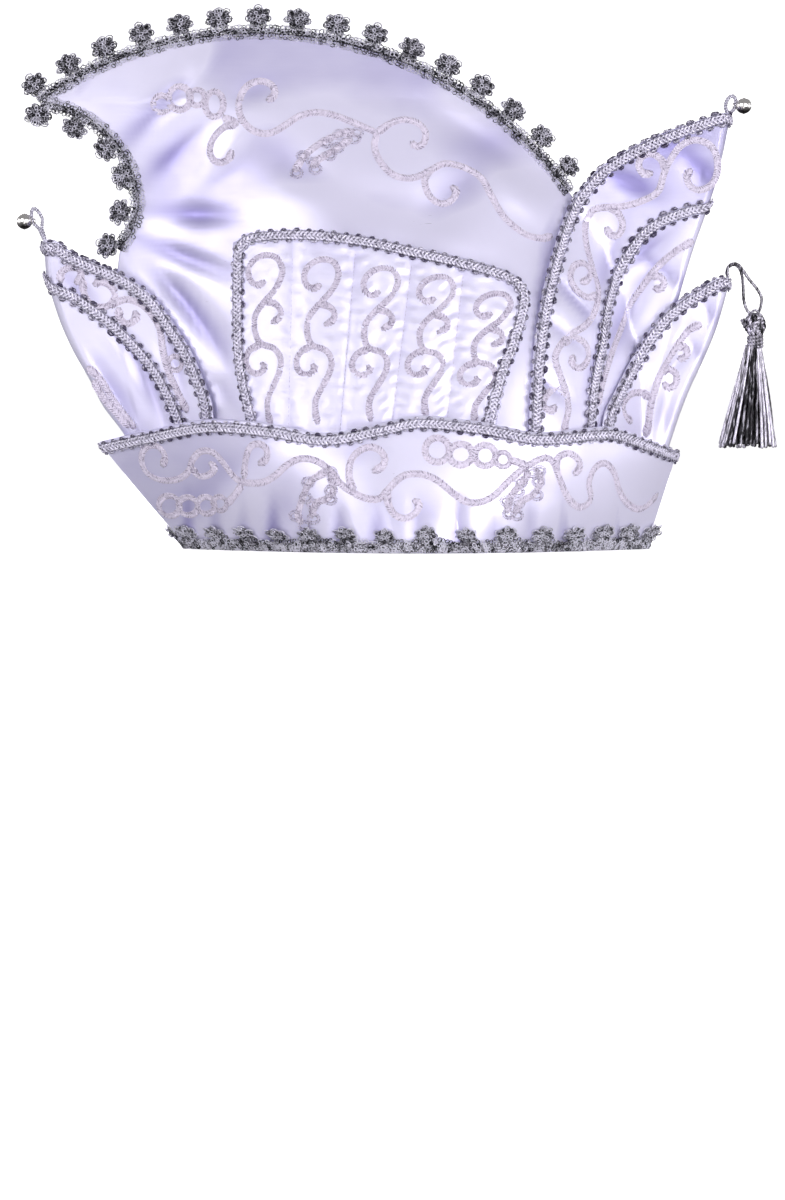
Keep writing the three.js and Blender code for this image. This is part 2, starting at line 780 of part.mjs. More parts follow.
function crestLace() {
  const over = Array.from({ length: CREST_TOP_FLOWERS * 6 + 1 }, (_, i) =>
    crestAt(lerp(CREST_LACE.fromAngle, CREST_LACE.toAngle, i / (CREST_TOP_FLOWERS * 6))),
  );
  const hollow = Array.from({ length: 60 }, (_, i) => {
    const z = lerp(BEAK_TIP_Z - 0.5, CREST_LACE.beakFootZ, i / 59);
    return new THREE.Vector2(crownFront(z), z);
  });
  const down = new THREE.SplineCurve(hollow).getSpacedPoints(BEAK_FLOWERS * 6);
  const outward = (line, i) => {
    const tangent = line[Math.min(i + 1, line.length - 1)].clone().sub(line[Math.max(i - 1, 0)]).normalize();
    return new THREE.Vector2(tangent.y, -tangent.x);
  };
  const edge = (line, height) =>
    line.map((p, i) => p.clone().addScaledVector(outward(line, i), height(i)));
  const flowers = (i) => scallop((i % 6) / 6, CREST_FLOWER.foot, CREST_FLOWER.tip);
  const outline = (line) => ({ inner: edge(line, () => CREST_FLOWER.gap), outer: edge(line, flowers) });
  const top = outline(over);
  const under = outline(down);
  const shape = new THREE.Shape([
    ...top.outer,
    ...under.outer,
    ...under.inner.reverse(),
    ...top.inner.reverse(),
  ]);
  const flat = new THREE.ExtrudeGeometry(shape, { depth: 2 * CREST_FLOWER.half, bevelEnabled: false });
  // The shape's (x, y) are the hat's (y, z), and the extrusion runs along x.
  flat.applyMatrix4(new THREE.Matrix4().makeBasis(point(0, 1, 0), point(0, 0, 1), point(1, 0, 0)));
  flat.translate(-CREST_FLOWER.half, 0, 0);
  return geometryFrom(solidOf(flat));
}

add("crest_lace", crestLace(), LACED);

// ---------------------------------------------------------------- bells on thread loops

// A jingle bell with crossed slots below and a wire eye on top, about its own centre, eye towards +Z.
function bell() {
  const { radius, wall: shell, slot } = BELL;
  const ball = solidOf(new THREE.SphereGeometry(radius, 16, 10));
  const hollow = solidOf(new THREE.SphereGeometry(radius - shell, 12, 8));
  const cut = (x, y) => solidOf(new THREE.BoxGeometry(x, y, radius * 2).translate(0, 0, -radius));
  const eye = solidOf(
    new THREE.TorusGeometry(1.35, 0.36, 6, 14).rotateX(Math.PI / 2).translate(0, 0, radius + 1.1),
  );
  const slots = cut(slot, radius * 1.35).add(cut(radius * 1.35, slot));
  return geometryFrom(ball.add(eye).subtract(hollow).subtract(slots));
}

// A round cord along points of the side plane; a closed one joins its own start.
function cordBody(points, radius, closed = false, sides = 8) {
  const last = points.length - 1;
  const loops = points.map((p, i) => {
    const before = points[closed ? (i + last) % (last + 1) : Math.max(i - 1, 0)];
    const after = points[closed ? (i + 1) % (last + 1) : Math.min(i + 1, last)];
    const out = point(1, 0, 0).cross(after.clone().sub(before)).normalize();
    return Array.from({ length: sides }, (_, k) => {
      const angle = (2 * Math.PI * k) / sides;
      return p
        .clone()
        .addScaledVector(point(1, 0, 0), radius * Math.cos(angle))
        .addScaledVector(out, radius * Math.sin(angle));
    });
  });
  const mesh = { points: [], triangles: [] };
  addGrid(mesh, closed ? [...loops, loops[0]] : loops, { around: true });
  const body = closedBody(mesh);
  return signedVolume(body) < 0 ? turned(body) : body;
}

// A closed loop of thread, `tall` by `wide`, in the side plane.
const threadLoop = (tall, wide) =>
  cordBody(
    Array.from({ length: 24 }, (_, i) => {
      const angle = (2 * Math.PI * i) / 24;
      return point(0, (wide / 2) * Math.cos(angle), (tall / 2) * Math.sin(angle));
    }),
    THREAD_RADIUS,
    true,
  );

// Each bell hangs beside its loop by an eye round one strand; the loop is sewn to a wing's tip at its foot.
const BELLS = table(
  ["name", "footY", "footZ", "tall", "wide", "lean", "facing", "height"],
  [
    ["front_bell", -186.3, 154.9, 16, 4.6, 20, -1, 2.2],
    ["rear_bell", 155.2, 217.9, 10.5, 4.6, -14, 1, -1.2],
  ],
);
for (const { name, footY, footZ, tall, wide, lean, facing, height } of BELLS) {
  const loop = add(`${name}_loop`, threadLoop(tall, wide), CORDED);
  loop.rotation.x = THREE.MathUtils.degToRad(lean);
  loop.position.copy(point(0, 0, tall / 2).applyEuler(loop.rotation)).add(point(0, footY, footZ));
  const strand = point(0, (facing * wide * Math.sqrt(1 - ((2 * height) / tall) ** 2)) / 2, height);
  strand.applyEuler(loop.rotation).add(loop.position);
  const ball = add(name, bell(), NICKEL);
  ball.rotation.x = (facing * Math.PI) / 2;
  ball.position.set(0, strand.y + facing * (BELL.radius + 1.1), strand.z);
}

// ---------------------------------------------------------------- tassel

const TASSEL = { y: 168.6, headTop: 121, headZ: 113, neckTop: 106, neckFoot: 100.5, foot: 49 };
const HEAD_HOLE_Z = 117.6; // the hole the cord runs through

// The cord leaves the low wing's tip, runs down through the tassel's head and back up to the tip.
const CORD_ROUTE = table(
  ["x", "y", "z"],
  [
    [-0.9, 155, 136],
    [-0.9, 155.9, 138.2],
    [-0.8, 159.6, 140.6],
    [-0.6, 162.8, 140.4],
    [-0.4, 164.6, 136.5],
    [-0.2, 165.2, 130],
    [0, 164.6, 123],
    [0, 165.2, HEAD_HOLE_Z + 1.7],
    [0, 166.4, HEAD_HOLE_Z + 0.3],
    [0, 168.6, HEAD_HOLE_Z - 0.2],
    [0, 170.8, HEAD_HOLE_Z + 0.3],
    [0, 172, HEAD_HOLE_Z + 1.7],
    [0, 172.6, 123],
    [0.2, 172, 130],
    [0.5, 168.8, 137.6],
    [0.8, 164.6, 142.6],
    [0.9, 159.6, 143.4],
    [0.9, 155.9, 140.2],
    [0.9, 155, 136],
  ],
);

const cordSection = new THREE.Shape();
cordSection.absarc(0, 0, CORD_RADIUS, 0, 2 * Math.PI);
const cordLine = new THREE.CatmullRomCurve3(CORD_ROUTE.map(({ x, y, z }) => point(x, y, z)));
add(
  "tassel_cord",
  new THREE.ExtrudeGeometry(cordSection, { extrudePath: cordLine, steps: 72, curveSegments: 2 }),
  CORDED,
);

const lathe = (profile, segments = 20) =>
  new THREE.LatheGeometry(
    profile.map(([radius, z]) => new THREE.Vector2(radius, z)),
    segments,
  ).rotateX(Math.PI / 2);

const headBody = lathe([
  [0, TASSEL.neckTop + 0.3],
  [3.2, TASSEL.neckTop + 0.3],
  [4.2, 109],
  [4.5, TASSEL.headZ],
  [3.5, 117],
  [2.2, 119.4],
  [0, TASSEL.headTop],
]).translate(0, TASSEL.y, 0);
const headHole = new THREE.CylinderGeometry(1.5, 1.5, 20, 12).translate(0, TASSEL.y, HEAD_HOLE_Z);
add("tassel_head", geometryFrom(solidOf(headBody).subtract(solidOf(headHole))), CORDED);

add(
  "tassel_neck",
  lathe([
    [0, TASSEL.neckFoot],
    [3.5, TASSEL.neckFoot],
    [3.8, 102],
    [3.8, 104.5],
    [3.5, TASSEL.neckTop],
    [0, TASSEL.neckTop],
  ]).translate(0, TASSEL.y, 0),
  CORDED,
);

// The skirt fans out wider along the hat than across it.
add(
  "tassel_skirt",
  lathe([
    [0, TASSEL.foot],
    [11, TASSEL.foot],
    [11.4, 52],
    [8, 74],
    [4.4, 96],
    [3.4, TASSEL.neckFoot - 0.3],
    [0, TASSEL.neckFoot - 0.3],
  ])
    .scale(0.8, 1.2, 1)
    .translate(0, TASSEL.y - 2, 0),
  CORDED,
);

export default hat;
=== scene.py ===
"""Carnival prince hat: a satin crown with a crested beak, folded wings over a flared cuff, quilted side
panels, silver braid and flower lace, scroll embroidery, two jingle bells and a tassel."""
import json
import math

import bmesh
import bpy
import numpy as np
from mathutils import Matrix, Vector

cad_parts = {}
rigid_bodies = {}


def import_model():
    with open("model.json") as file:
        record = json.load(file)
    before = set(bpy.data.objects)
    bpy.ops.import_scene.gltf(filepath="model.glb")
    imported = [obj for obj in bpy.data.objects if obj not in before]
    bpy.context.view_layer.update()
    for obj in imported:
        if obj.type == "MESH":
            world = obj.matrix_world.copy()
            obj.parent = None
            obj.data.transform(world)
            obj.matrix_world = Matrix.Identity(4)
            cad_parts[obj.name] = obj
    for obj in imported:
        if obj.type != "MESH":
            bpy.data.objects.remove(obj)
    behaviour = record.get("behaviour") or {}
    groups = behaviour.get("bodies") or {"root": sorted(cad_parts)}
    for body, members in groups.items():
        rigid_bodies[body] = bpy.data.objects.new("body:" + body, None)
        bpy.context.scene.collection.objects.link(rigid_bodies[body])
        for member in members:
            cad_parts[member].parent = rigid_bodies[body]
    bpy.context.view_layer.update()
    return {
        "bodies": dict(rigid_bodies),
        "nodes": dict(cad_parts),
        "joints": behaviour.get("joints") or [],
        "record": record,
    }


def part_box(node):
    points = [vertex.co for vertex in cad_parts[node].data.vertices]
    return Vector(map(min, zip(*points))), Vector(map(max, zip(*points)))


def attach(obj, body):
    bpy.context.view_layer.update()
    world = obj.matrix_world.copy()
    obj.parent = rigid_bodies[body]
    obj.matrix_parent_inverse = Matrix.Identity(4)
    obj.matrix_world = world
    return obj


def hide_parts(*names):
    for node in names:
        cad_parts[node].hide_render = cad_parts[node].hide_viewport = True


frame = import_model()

bl_info = {
    "name": "Carnival prince hat",
    "version": (1, 0, 0),
    "blender": (4, 5, 0),
    "location": "View3D > Sidebar > Hat",
    "description": "Builds the cloth, trim and embroidery of a crested carnival hat",
    "category": "Add Mesh",
}

MM = 0.001
RIM_CENTRE_Y = 16.8  # the rim's middle lies this far behind the middle of the whole length
TURN = 2 * math.pi
OTHER_SIDE = np.array([-1, 1, 1])  # takes a place on the left side to the right side
ON_SEAM = np.array([0, 1, 1])
SIDES = (("left", 1), ("right", -1))

# ---- driving sizes, in millimetres

RIM_HALF_LENGTH, RIM_HALF_WIDTH = 110, 81
CREST_CENTRE_Y, CREST_CENTRE_Z, CREST_RADIUS = -80, 66, 191.5  # the crest is an arc of a circle
CREST_TOP_Z = CREST_CENTRE_Z + CREST_RADIUS
BEAK_TIP_Z = 224
SEAM_HALF, SEAM_FADE = 1.6, 9  # half thickness at a seam, and how far from it folds reach their depth
WALL = 2  # cloth and stiffener together
PANEL_WALL, PANEL_PUFF = 2.8, 0.9  # the puff is how far the wadding lifts the cloth
WING_CLEARANCE, WING_ROUNDING = 1.4, 5
CUFF_HEIGHT, CUFF_LEAN = 60, 1.25  # the lean is how much longer the cuff gets a millimetre of its wall
HEM_LINE_Z = 8  # the level at which the hem's flowers are spaced
HEM_FLOWERS_A_SIDE, CREST_FLOWERS = 15, 16
USUAL_BRAID = 7  # width over the edge loops
BRAID_LIFT = 0.3

# ---- tables and smooth curves


class Table:
    """Rows of numbers under named columns."""

    def __init__(self, columns, *rows):
        self.columns = columns.split()
        self.rows = np.array(rows, float)

    def column(self, name):
        return self.rows[:, self.columns.index(name)]

    def curve(self, source, target):
        return smooth_curve(self.column(source), self.column(target))


def smooth_curve(x, y):
    """A smooth curve through points that never overshoots them."""
    order = np.argsort(x)
    x, y = np.asarray(x, float)[order], np.asarray(y, float)[order]
    slope = np.diff(y) / np.diff(x)
    before, after = slope[:-1], slope[1:]
    same = before * after > 0
    middle = np.where(same, 2 * before * after / np.where(same, before + after, 1), 0)
    tangent = np.concatenate([slope[:1], middle, slope[-1:]])

    def at(value):
        value = np.clip(value, x[0], x[-1])
        i = np.clip(np.searchsorted(x, value, side="right") - 1, 0, len(x) - 2)
        width = x[i + 1] - x[i]
        t = (value - x[i]) / width
        return (
            y[i] * (1 + 2 * t) * (1 - t) ** 2
            + tangent[i] * width * t * (1 - t) ** 2
            + y[i + 1] * t * t * (3 - 2 * t)
            + tangent[i + 1] * width * t * t * (t - 1)
        )

    return at


def ease(t):
    t = np.clip(t, 0, 1)
    return t * t * (3 - 2 * t)


def mix(a, b, t):
    return a + (b - a) * t


def cos_sin(angle):
    return math.cos(angle), math.sin(angle)


def unit(vectors):
    return vectors / np.maximum(np.linalg.norm(vectors, axis=-1, keepdims=True), 1e-9)


def stacked(*columns):
    return np.stack(columns, -1)


def picked(lengths, travelled, points):
    """Points of a line at lengths travelled along it."""
    return stacked(*(np.interp(lengths, travelled, column) for column in points.T))


def spread(value, *shape):
    return np.broadcast_to(np.asarray(value, float), shape)


def path_lengths(points):
    """The length travelled to each point of a line."""
    return np.concatenate([[0], np.cumsum(np.linalg.norm(np.diff(points, axis=0), axis=1))])


def crowded_shares(count):
    """Shares from 0 to 1 that crowd together towards both ends."""
    return (1 - np.cos(np.linspace(0, math.pi, count))) / 2


def full_turn(count):
    return np.linspace(0, TURN, count, endpoint=False)


def ripple(y, z, size, seed, waves=7):
    """Soft unevenness of a cloth side, about -1 to 1, with bumps about `size` across."""
    draw = np.random.default_rng(seed)
    total = 0
    for _ in range(waves):
        angle, phase = draw.uniform(0, TURN, 2)
        scale = TURN / (size * draw.uniform(0.7, 1.6))
        total = total + np.sin((y * math.cos(angle) + z * math.sin(angle)) * scale + phase)
    return total / math.sqrt(2 * waves)


def folds(rows, y, z):
    """Soft folds that pull a cloth side in: rows of middle, depth, half length, half width and slope."""
    total = 0 * (y + z)
    for fold_y, fold_z, depth, long, wide, slope in rows:
        cos, sin = cos_sin(math.radians(slope))
        along = (y - fold_y) * cos + (z - fold_z) * sin
        across = (z - fold_z) * cos - (y - fold_y) * sin
        total = total + depth * np.exp(-((along / long) ** 2) - (across / wide) ** 2)
    return total


def through(points, per_span=14):
    """Many points on the smooth line through a few."""
    p = np.asarray(points, float)
    p = np.vstack([2 * p[0] - p[1], p, 2 * p[-1] - p[-2]])
    t = np.linspace(0, 1, per_span, endpoint=False)[:, None]
    spans = [
        0.5 * (2 * b + (c - a) * t + (2 * a - 5 * b + 4 * c - d) * t**2 + (3 * b - a - 3 * c + d) * t**3)
        for a, b, c, d in zip(p, p[1:], p[2:], p[3:])
    ]
    return np.vstack([*spans, p[-2:-1]])


def ellipse(y, z, half_y, half_z, count=28):
    """A closed ring of points of the side plane, its first point repeated at the end."""
    angle = np.linspace(0, TURN, count + 1)
    return stacked(y + half_y * np.cos(angle), z + half_z * np.sin(angle))


# ---- the hat's outlines

FRONT_SEAM = Table(
    "z y",
    (0, -RIM_HALF_LENGTH), (25, -123), (60, -138), (95, -147), (125, -150), (147, -148.5), (160, -142.5),
    (173, -139.3), (186, -141.5), (199.5, -148), (210.5, -158), (218.5, -170.5), (BEAK_TIP_Z, -188.2),
)
CROWN_SECTION = Table(
    "z front_power rear_power",
    (0, 0.95, 2), (30, 1.05, 2.5), (65, 1.3, 4.4), (110, 1.5, 4.2), (160, 1.5, 3.2), (200, 1.5, 2.5),
    (258, 1.5, 2),
)
CUFF_SECTION = Table(
    "z front rear half front_nose rear_nose front_power rear_power",
    (0, -111.5, 111.5, 80, 1.6, 1.6, 0.95, 2),
    (25, -133, 119.5, 75, 5.5, 3.5, 1.05, 2.8),
    (50, -153.5, 127.5, 68, 8.6, 5.2, 1.12, 3.2),
    (68, -168, 133, 63, 9.5, 5.8, 1.15, 3.2),
)
CUFF_EDGE = Table(
    "y z",
    (-162, 53), (-132, 59), (-95, 65), (-72, 63), (-46, 58.5), (-18, 63), (2, 67), (30, 64), (60, 58.5),
    (92, 61), (112, 55), (132, 48),
)
FRONT_WING = Table(
    "z nose edge nose_half",
    (22, -124.5, -94, 3.4), (45, -138.5, -97.5, 4.8), (60, -148.5, -101.5, 5), (72, -157.5, -102.5, 5.1),
    (84, -163.5, -106.8, 5.2), (99, -172, -113.3, 5.6), (113, -178.3, -122.3, 6.5),
    (126, -182.6, -132.3, 7.8), (136, -185.3, -145.5, 8.6), (147, -186.3, -171, 9.3),
    (154, -187.3, -181, 9.8),
)
TALL_WING = Table(
    "z nose edge nose_half",
    (22, 112.9, 54, 2.2), (60, 117.5, 55.3, 2.6), (94.5, 122.5, 57.3, 2.8), (127, 131, 62.3, 3),
    (150.5, 138, 68.5, 3.2), (163.5, 142.6, 72.8, 3.5), (174, 146.2, 77.8, 4.2), (183, 149, 84.8, 5),
    (191, 150.8, 92.3, 5.8), (198.5, 152.6, 104.3, 6.5), (206.5, 154.2, 119.8, 7.2), (213, 155.4, 138.3, 7.7),
    (217, 156.2, 150, 7.9),
)
LOW_WING = Table(
    "z nose edge nose_half",
    (26, 115.6, 88, 4.9), (40, 121.8, 89.5, 5.2), (51.5, 125.8, 91, 5.4), (65.5, 130.4, 92.3, 5.4),
    (80, 136, 98.8, 5.4), (94.5, 142.8, 106.8, 5.4), (109, 148.8, 115.8, 5.6), (122, 152.8, 127.8, 5.8),
    (130, 154.8, 140.8, 6.1), (135, 156, 149.5, 6.3),
)
PANEL_SIDES = Table(
    "z front rear",
    (24, -80, 31), (66, -84, 39), (84, -89, 43), (100, -91, 49), (118, -91.5, 54), (160, -91, 56),
)
PANEL_TOP = Table(
    "y z",
    (-91, 152.5), (-82, 157), (-56, 158.5), (-30, 156), (-8, 151.5), (34, 142), (49, 136.5), (56, 129),
)
PANEL_STANDOFF = Table(
    "z front quarter middle rear",
    (24, 1, 1, 1, 1), (45, 6.5, 4.5, 1.5, 1), (66, 10.4, 8, 3.5, 1), (110, 12.5, 10.5, 6, 1.4),
    (160, 13.3, 12, 7.5, 1.6),
)

# ---- folds, in the columns of folds()

CROWN_FOLDS = (
    (-166.7, 232, 1.2, 9, 2.6, 57), (-125.7, 223.5, 2.8, 26, 5.5, 38), (-122.7, 197, 2.8, 18, 5.5, 43),
    (-108.7, 243.5, -1.9, 15, 5, 70), (-113, 167, 2.8, 24, 5, -3), (-119, 147, 2.8, 28, 4.6, -22),
    (-124, 131, 1.7, 22, 4.5, -42), (-106, 111, 3.3, 28, 6, -53), (-95, 78, 1.6, 12, 5, -50),
    (-134, 163, -1.4, 14, 5, -5), (-81, 228, 1.5, 12, 6, 20), (18.7, 177, 2.0, 32, 11, 45),
    (20, 225, -1.8, 18, 7, -30),
    (24.5, 209, 1.5, 24, 11, -30), (46.6, 179, -1.8, 20, 8, -40), (64, 147, 2.0, 30, 4.6, 80),
    (-62, 193, 1.8, 24, 10, -30), (-69, 172.5, -2.2, 42, 12, 12), (-9, 157, -1.6, 32, 8, -8),
    (-98, 196, -1.8, 24, 6, 50), (-140, 207, 1.8, 14, 4.6, 42), (-30, 178, 1.6, 26, 9, -14),
)
CROWN_PAINTED_SHADING = (  # painted shade (its depth of lilac; below nought a painted highlight), middle and reach of the soft tones on the crown's sides
    (0.8, (-100, 174), (42, 34)), (-0.2, (-42, 170), (30, 18)), (-0.3, (-110, 238), (9, 20)),
    (-0.22, (-66, 196), (24, 12)), (-0.28, (27, 161), (16, 10)), (-0.35, (62, 180), (14, 12)),
    (-0.3, (18, 211), (20, 8)),
)
CUFF_FOLDS = (
    (-98, 36, 1.6, 24, 9, 40), (-66, 20, 1.2, 14, 8, 70), (-40, 52, 0.8, 26, 6, -8), (10, 22, 0.8, 26, 7, 10),
    (62, 30, 0.7, 18, 8, 60), (104, 36, 0.8, 14, 7, 75),
)
FRONT_WING_FOLDS = (
    (-168, 128, 1.5, 14, 5, -48), (-140, 96, 1.8, 22, 5, -55), (-150, 78, 1.8, 22, 5, -58),
    (-122, 96, 1.5, 20, 3.6, -72), (-132, 76, 1.2, 16, 4, -62),
)
TALL_WING_FOLDS = (
    (105, 183, 2.4, 14, 5, -25), (77, 125, 2.2, 17, 2.8, -48), (64, 83, 1.8, 13, 2.6, -38),
    (113, 150, 1.8, 14, 4, 35), (141, 190, 2.2, 14, 6, -40), (95, 145, 1.5, 22, 5, 72),
    (124, 138, 2.0, 15, 4, -35), (104, 118, 1.8, 26, 5, 66), (72, 108, 1.4, 14, 3, -40),
    (88, 95, 1.4, 20, 3.4, 75), (124, 200, 1.2, 20, 6, 20),
)
LOW_WING_FOLDS = (
    (146, 118, 1.4, 10, 4, -60), (139, 100, 1.2, 12, 3, -55), (128, 92, 1.0, 12, 4, 40),
    (122, 66, 0.9, 14, 5, 70),
)

# ---- embroidery lines, (y, z) in the side plane

CROWN_SCROLLS = (
    ((-97, 215.6), (-93.3, 213.5), (-89, 212)),
    ((-75, 223), (-71.2, 226.3), (-72.3, 231), (-78.6, 233.3), (-85.7, 230), (-89, 221.6), (-87.3, 214),
     (-81.2, 208.2), (-73.5, 207.2), (-66, 211), (-59, 215.6), (-51.2, 217.5), (-43, 216.5), (-34, 213.3),
     (-25, 209.4), (-20.6, 207), (-21.5, 200.5), (-18.7, 193), (-12.3, 186.5), (-4.4, 184.7), (2.8, 186.6),
     (12, 191.7), (18.5, 191.5), (25.7, 189), (32.2, 184.3), (36.4, 176.4), (41.7, 167), (48.2, 160.5),
     (55, 156.2), (62.3, 155), (67, 156.4)),
    ((-89, 212), (-96, 210.3), (-101.4, 205), (-103.4, 199.2), (-102, 194.4), (-98, 192.6), (-93.7, 194.8),
     (-92.2, 199)),
    ((-61.4, 187.8), (-55.7, 196.4), (-46.8, 203), (-37.8, 207), (-31.5, 208)),
    ((-52, 189.7), (-50.6, 193), (-44.8, 196.7), (-38.5, 200.5), (-32.7, 205)),
    ((-20.6, 207), (-13, 212.4), (-5.7, 214), (1, 211.7), (4, 207.2), (2.8, 202), (-1, 200.6), (-3, 203.2)),
    ((6, 189.5), (3.5, 184.3), (4.8, 177.7), (8.7, 173.2), (13.3, 172), (17.6, 174.5), (19, 178.4),
     (16.6, 181)),
)
CROWN_RINGS = (
    (-127.4, 222, 4.3, 4.3), (-118.4, 224.8, 5.4, 5.9), (-109.8, 225, 4, 4), (-101.2, 221.7, 4.6, 6.4),
)
CROWN_SPRIGS, CUFF_SPRIGS = (3, 4), (4, 5, 9, 10)  # the scrolls that carry leaves
PANEL_SCROLL = (  # one channel's scroll, across from the channel's middle and up from the cuff as a share
    ((0, 0.925), (-3.5, 0.897), (-7.3, 0.922), (-8.6, 0.99), (-6, 1.058), (-0.3, 1.095), (5.5, 1.078),
     (8.3, 1.007), (7.4, 0.94), (4.2, 0.863), (-0.9, 0.787), (-5.4, 0.7), (-6, 0.615), (-4.5, 0.54),
     (-2.2, 0.505), (3.6, 0.48), (6.8, 0.41), (6, 0.325), (2.8, 0.23), (0, 0.145), (0, 0.06), (1.5, -0.02)),
    ((-0.9, 0.787), (3, 0.783), (6.8, 0.744), (6.8, 0.685), (2.3, 0.65)),
    ((-2.2, 0.505), (-7.9, 0.477), (-10.5, 0.41), (-9.2, 0.34), (-4.7, 0.312), (-1.2, 0.352), (-2.8, 0.386)),
)
PANEL_CHANNELS = Table(  # each scroll's middle: at its top curl and at the cuff
    "top_y top_z foot_y foot_z",
    (-75.2, 139.3, -73.8, 64.5), (-47.4, 137.4, -50.6, 64.7), (-18.1, 133.6, -24.4, 66),
    (9.3, 129.8, 2.8, 68), (37.5, 122, 27, 64.5),
)
PANEL_SEAMS = Table(
    "top_y top_z foot_y foot_z",
    (-61.8, 145, -63.8, 60), (-30.8, 147.5, -38.2, 60), (-3.1, 141.5, -13.2, 60), (22.4, 136.3, 13.8, 60),
)
CUFF_SCROLLS = (
    ((-127, 41.7), (-125.2, 46.8), (-129, 52), (-134.8, 51.3), (-137.3, 45.6), (-134.8, 38.6), (-127.8, 35),
     (-119.5, 35.4), (-113.7, 39.2), (-111.2, 45.6), (-106.7, 49.7), (-101, 49), (-96.5, 44.6), (-92, 38.6),
     (-87, 34.7), (-77.4, 34.3), (-70.4, 37.7), (-64.6, 43), (-58.2, 46.2), (-50.6, 45.6), (-43.6, 41),
     (-38.5, 34.7), (-32, 30), (-25, 27), (-18.7, 27), (-15, 31), (-7.6, 37.9), (1, 39), (8.7, 36.3),
     (15.5, 31), (22.4, 26), (29.6, 25), (37.5, 28.5), (45.3, 36.3), (53.2, 42.5), (62.3, 46.8), (67, 43.5),
     (70.4, 34.4), (74.3, 26.3), (80, 22.2), (85.2, 26), (84.3, 34.4), (87.4, 41.6), (92.4, 43.8), (97, 39),
     (99.6, 30.4), (103.5, 24), (108.7, 20.6), (114, 22), (119.8, 27.8)),
    ((-112.2, 42.4), (-108.6, 37.3), (-103, 38), (-100.3, 41.7), (-103, 44.3)),
    ((-94.6, 23.2), (-90, 28.4), (-86.3, 34)),
    ((-85.7, 36), (-84.8, 45.6), (-82.5, 52), (-78, 53.5), (-74.2, 50.7), (-74.8, 45.6), (-78.6, 43.7)),
    ((-44.2, 40.5), (-52.5, 35.4), (-56.3, 27.7), (-58.9, 18.8), (-57, 14)),
    ((-43, 38), (-41.4, 31.5), (-44.2, 27), (-50, 24.5), (-52.5, 17.5)),
    ((-31.5, 30), (-33.8, 38), (-32.5, 46.2), (-27, 51.3), (-20.6, 51.7), (-16.4, 47.5), (-17.4, 42.8),
     (-22.3, 40.2)),
    ((-15.5, 31.7), (-14.6, 24.6), (-11.2, 19), (-5.7, 17.4), (-0.7, 20.6), (0.3, 24.6), (-2.4, 26.5)),
    ((45.3, 46), (50, 44.2), (54.5, 42.5)),
    ((55, 40.2), (50.5, 33.7), (45.3, 27.8), (43.4, 20)),
    ((58.4, 41), (60.4, 35.7), (57, 29), (50.5, 25.2), (47.3, 19.3)),
    ((67.5, 41), (69, 46.8), (74, 49), (78.7, 46), (79.6, 41.6), (76.4, 38.5)),
)
CUFF_RINGS = (
    (-123.5, 22, 5.4, 5.2), (-114, 22, 5, 4.6), (-104.8, 22.6, 4.6, 4.3), (-98, 23.6, 3.6, 3.6),
    (9.4, 50.7, 6, 6), (21, 48.5, 5.8, 5.2), (32.9, 48, 5.2, 5.2), (41.7, 46, 3.7, 3.7),
)
FRONT_WING_SCROLLS = (
    ((-170.7, 132.3), (-167.7, 135.5), (-168.2, 139.7), (-173.7, 140.5), (-177.8, 137.4), (-177.5, 133)),
    ((-161.6, 131.7), (-157.7, 133.6), (-152.6, 131), (-150.7, 126.6), (-154, 121.5), (-161, 121.5),
     (-166, 127.2), (-166.7, 135)),
    ((-154, 121.5), (-145, 124.7), (-137.3, 122), (-132.2, 117), (-128.4, 110), (-127, 100.4), (-124.6, 90.2),
     (-120, 80), (-114.4, 68.5)),
    ((-148.8, 120.8), (-148.2, 115), (-143.7, 112.5), (-140, 115.7), (-141, 119)),
    ((-164.7, 91), (-157.7, 84.5), (-152, 75), (-145, 66), (-141, 60.2)),
    ((-161.6, 84.5), (-156.5, 75.5), (-148.8, 66.6), (-143.7, 61)),
)
FRONT_WING_RINGS = ((-120.7, 92.8, 3.6, 3.6),)
TALL_WING_SCROLLS = (
    ((136.8, 189.5), (134, 186.2), (135.5, 181.4), (140, 179), (146, 181.4), (149.2, 187.5), (149, 195.4),
     (145.7, 201.3), (138.8, 204), (132.3, 202), (127.7, 197), (123, 188.2), (119.8, 178.4), (112, 173.8),
     (103, 171.2), (95, 170.6), (87.8, 169.2), (84, 163.4), (83.5, 155.5), (85.2, 146.8), (87.4, 139),
     (89.8, 130), (88.7, 120.7), (84, 112.6), (76, 107.3), (70.8, 102.4), (67.8, 95.8), (70.2, 87.3),
     (73, 78.8), (74.3, 71), (72.8, 63.8), (72, 57.5)),
    ((123, 188.2), (122.2, 193.2), (117.2, 197), (112, 196), (110, 191.5), (112.7, 187.2), (117.2, 187.5)),
    ((95, 170.6), (99.6, 168), (102.2, 162), (100.2, 156.8), (96.3, 156.8), (94, 160.7)),
    ((89.8, 127.2), (84.5, 125.6), (78.7, 129.2), (75.7, 135.7), (77.7, 141.3), (82.6, 142.6), (86, 139),
     (84.5, 134.4), (80.6, 133)),
    ((70.8, 102.4), (77.4, 105.6), (83.2, 102.4), (84.5, 95.8), (80.6, 90.6), (76, 92.5), (77.4, 97)),
    ((73.4, 76.2), (68.2, 80.4), (63.4, 77.5), (61.7, 72.3), (65.6, 69.7), (68.2, 72.3)),
    ((137.5, 154), (127.7, 148), (119.2, 140.3), (112, 131), (106, 122), (101.8, 111.5), (96.6, 98.4),
     (92.4, 85.4), (89, 72.3)),
    ((116, 135.7), (119.8, 136.4), (123, 133.7), (121.2, 129.8), (117.5, 130.5)),
)
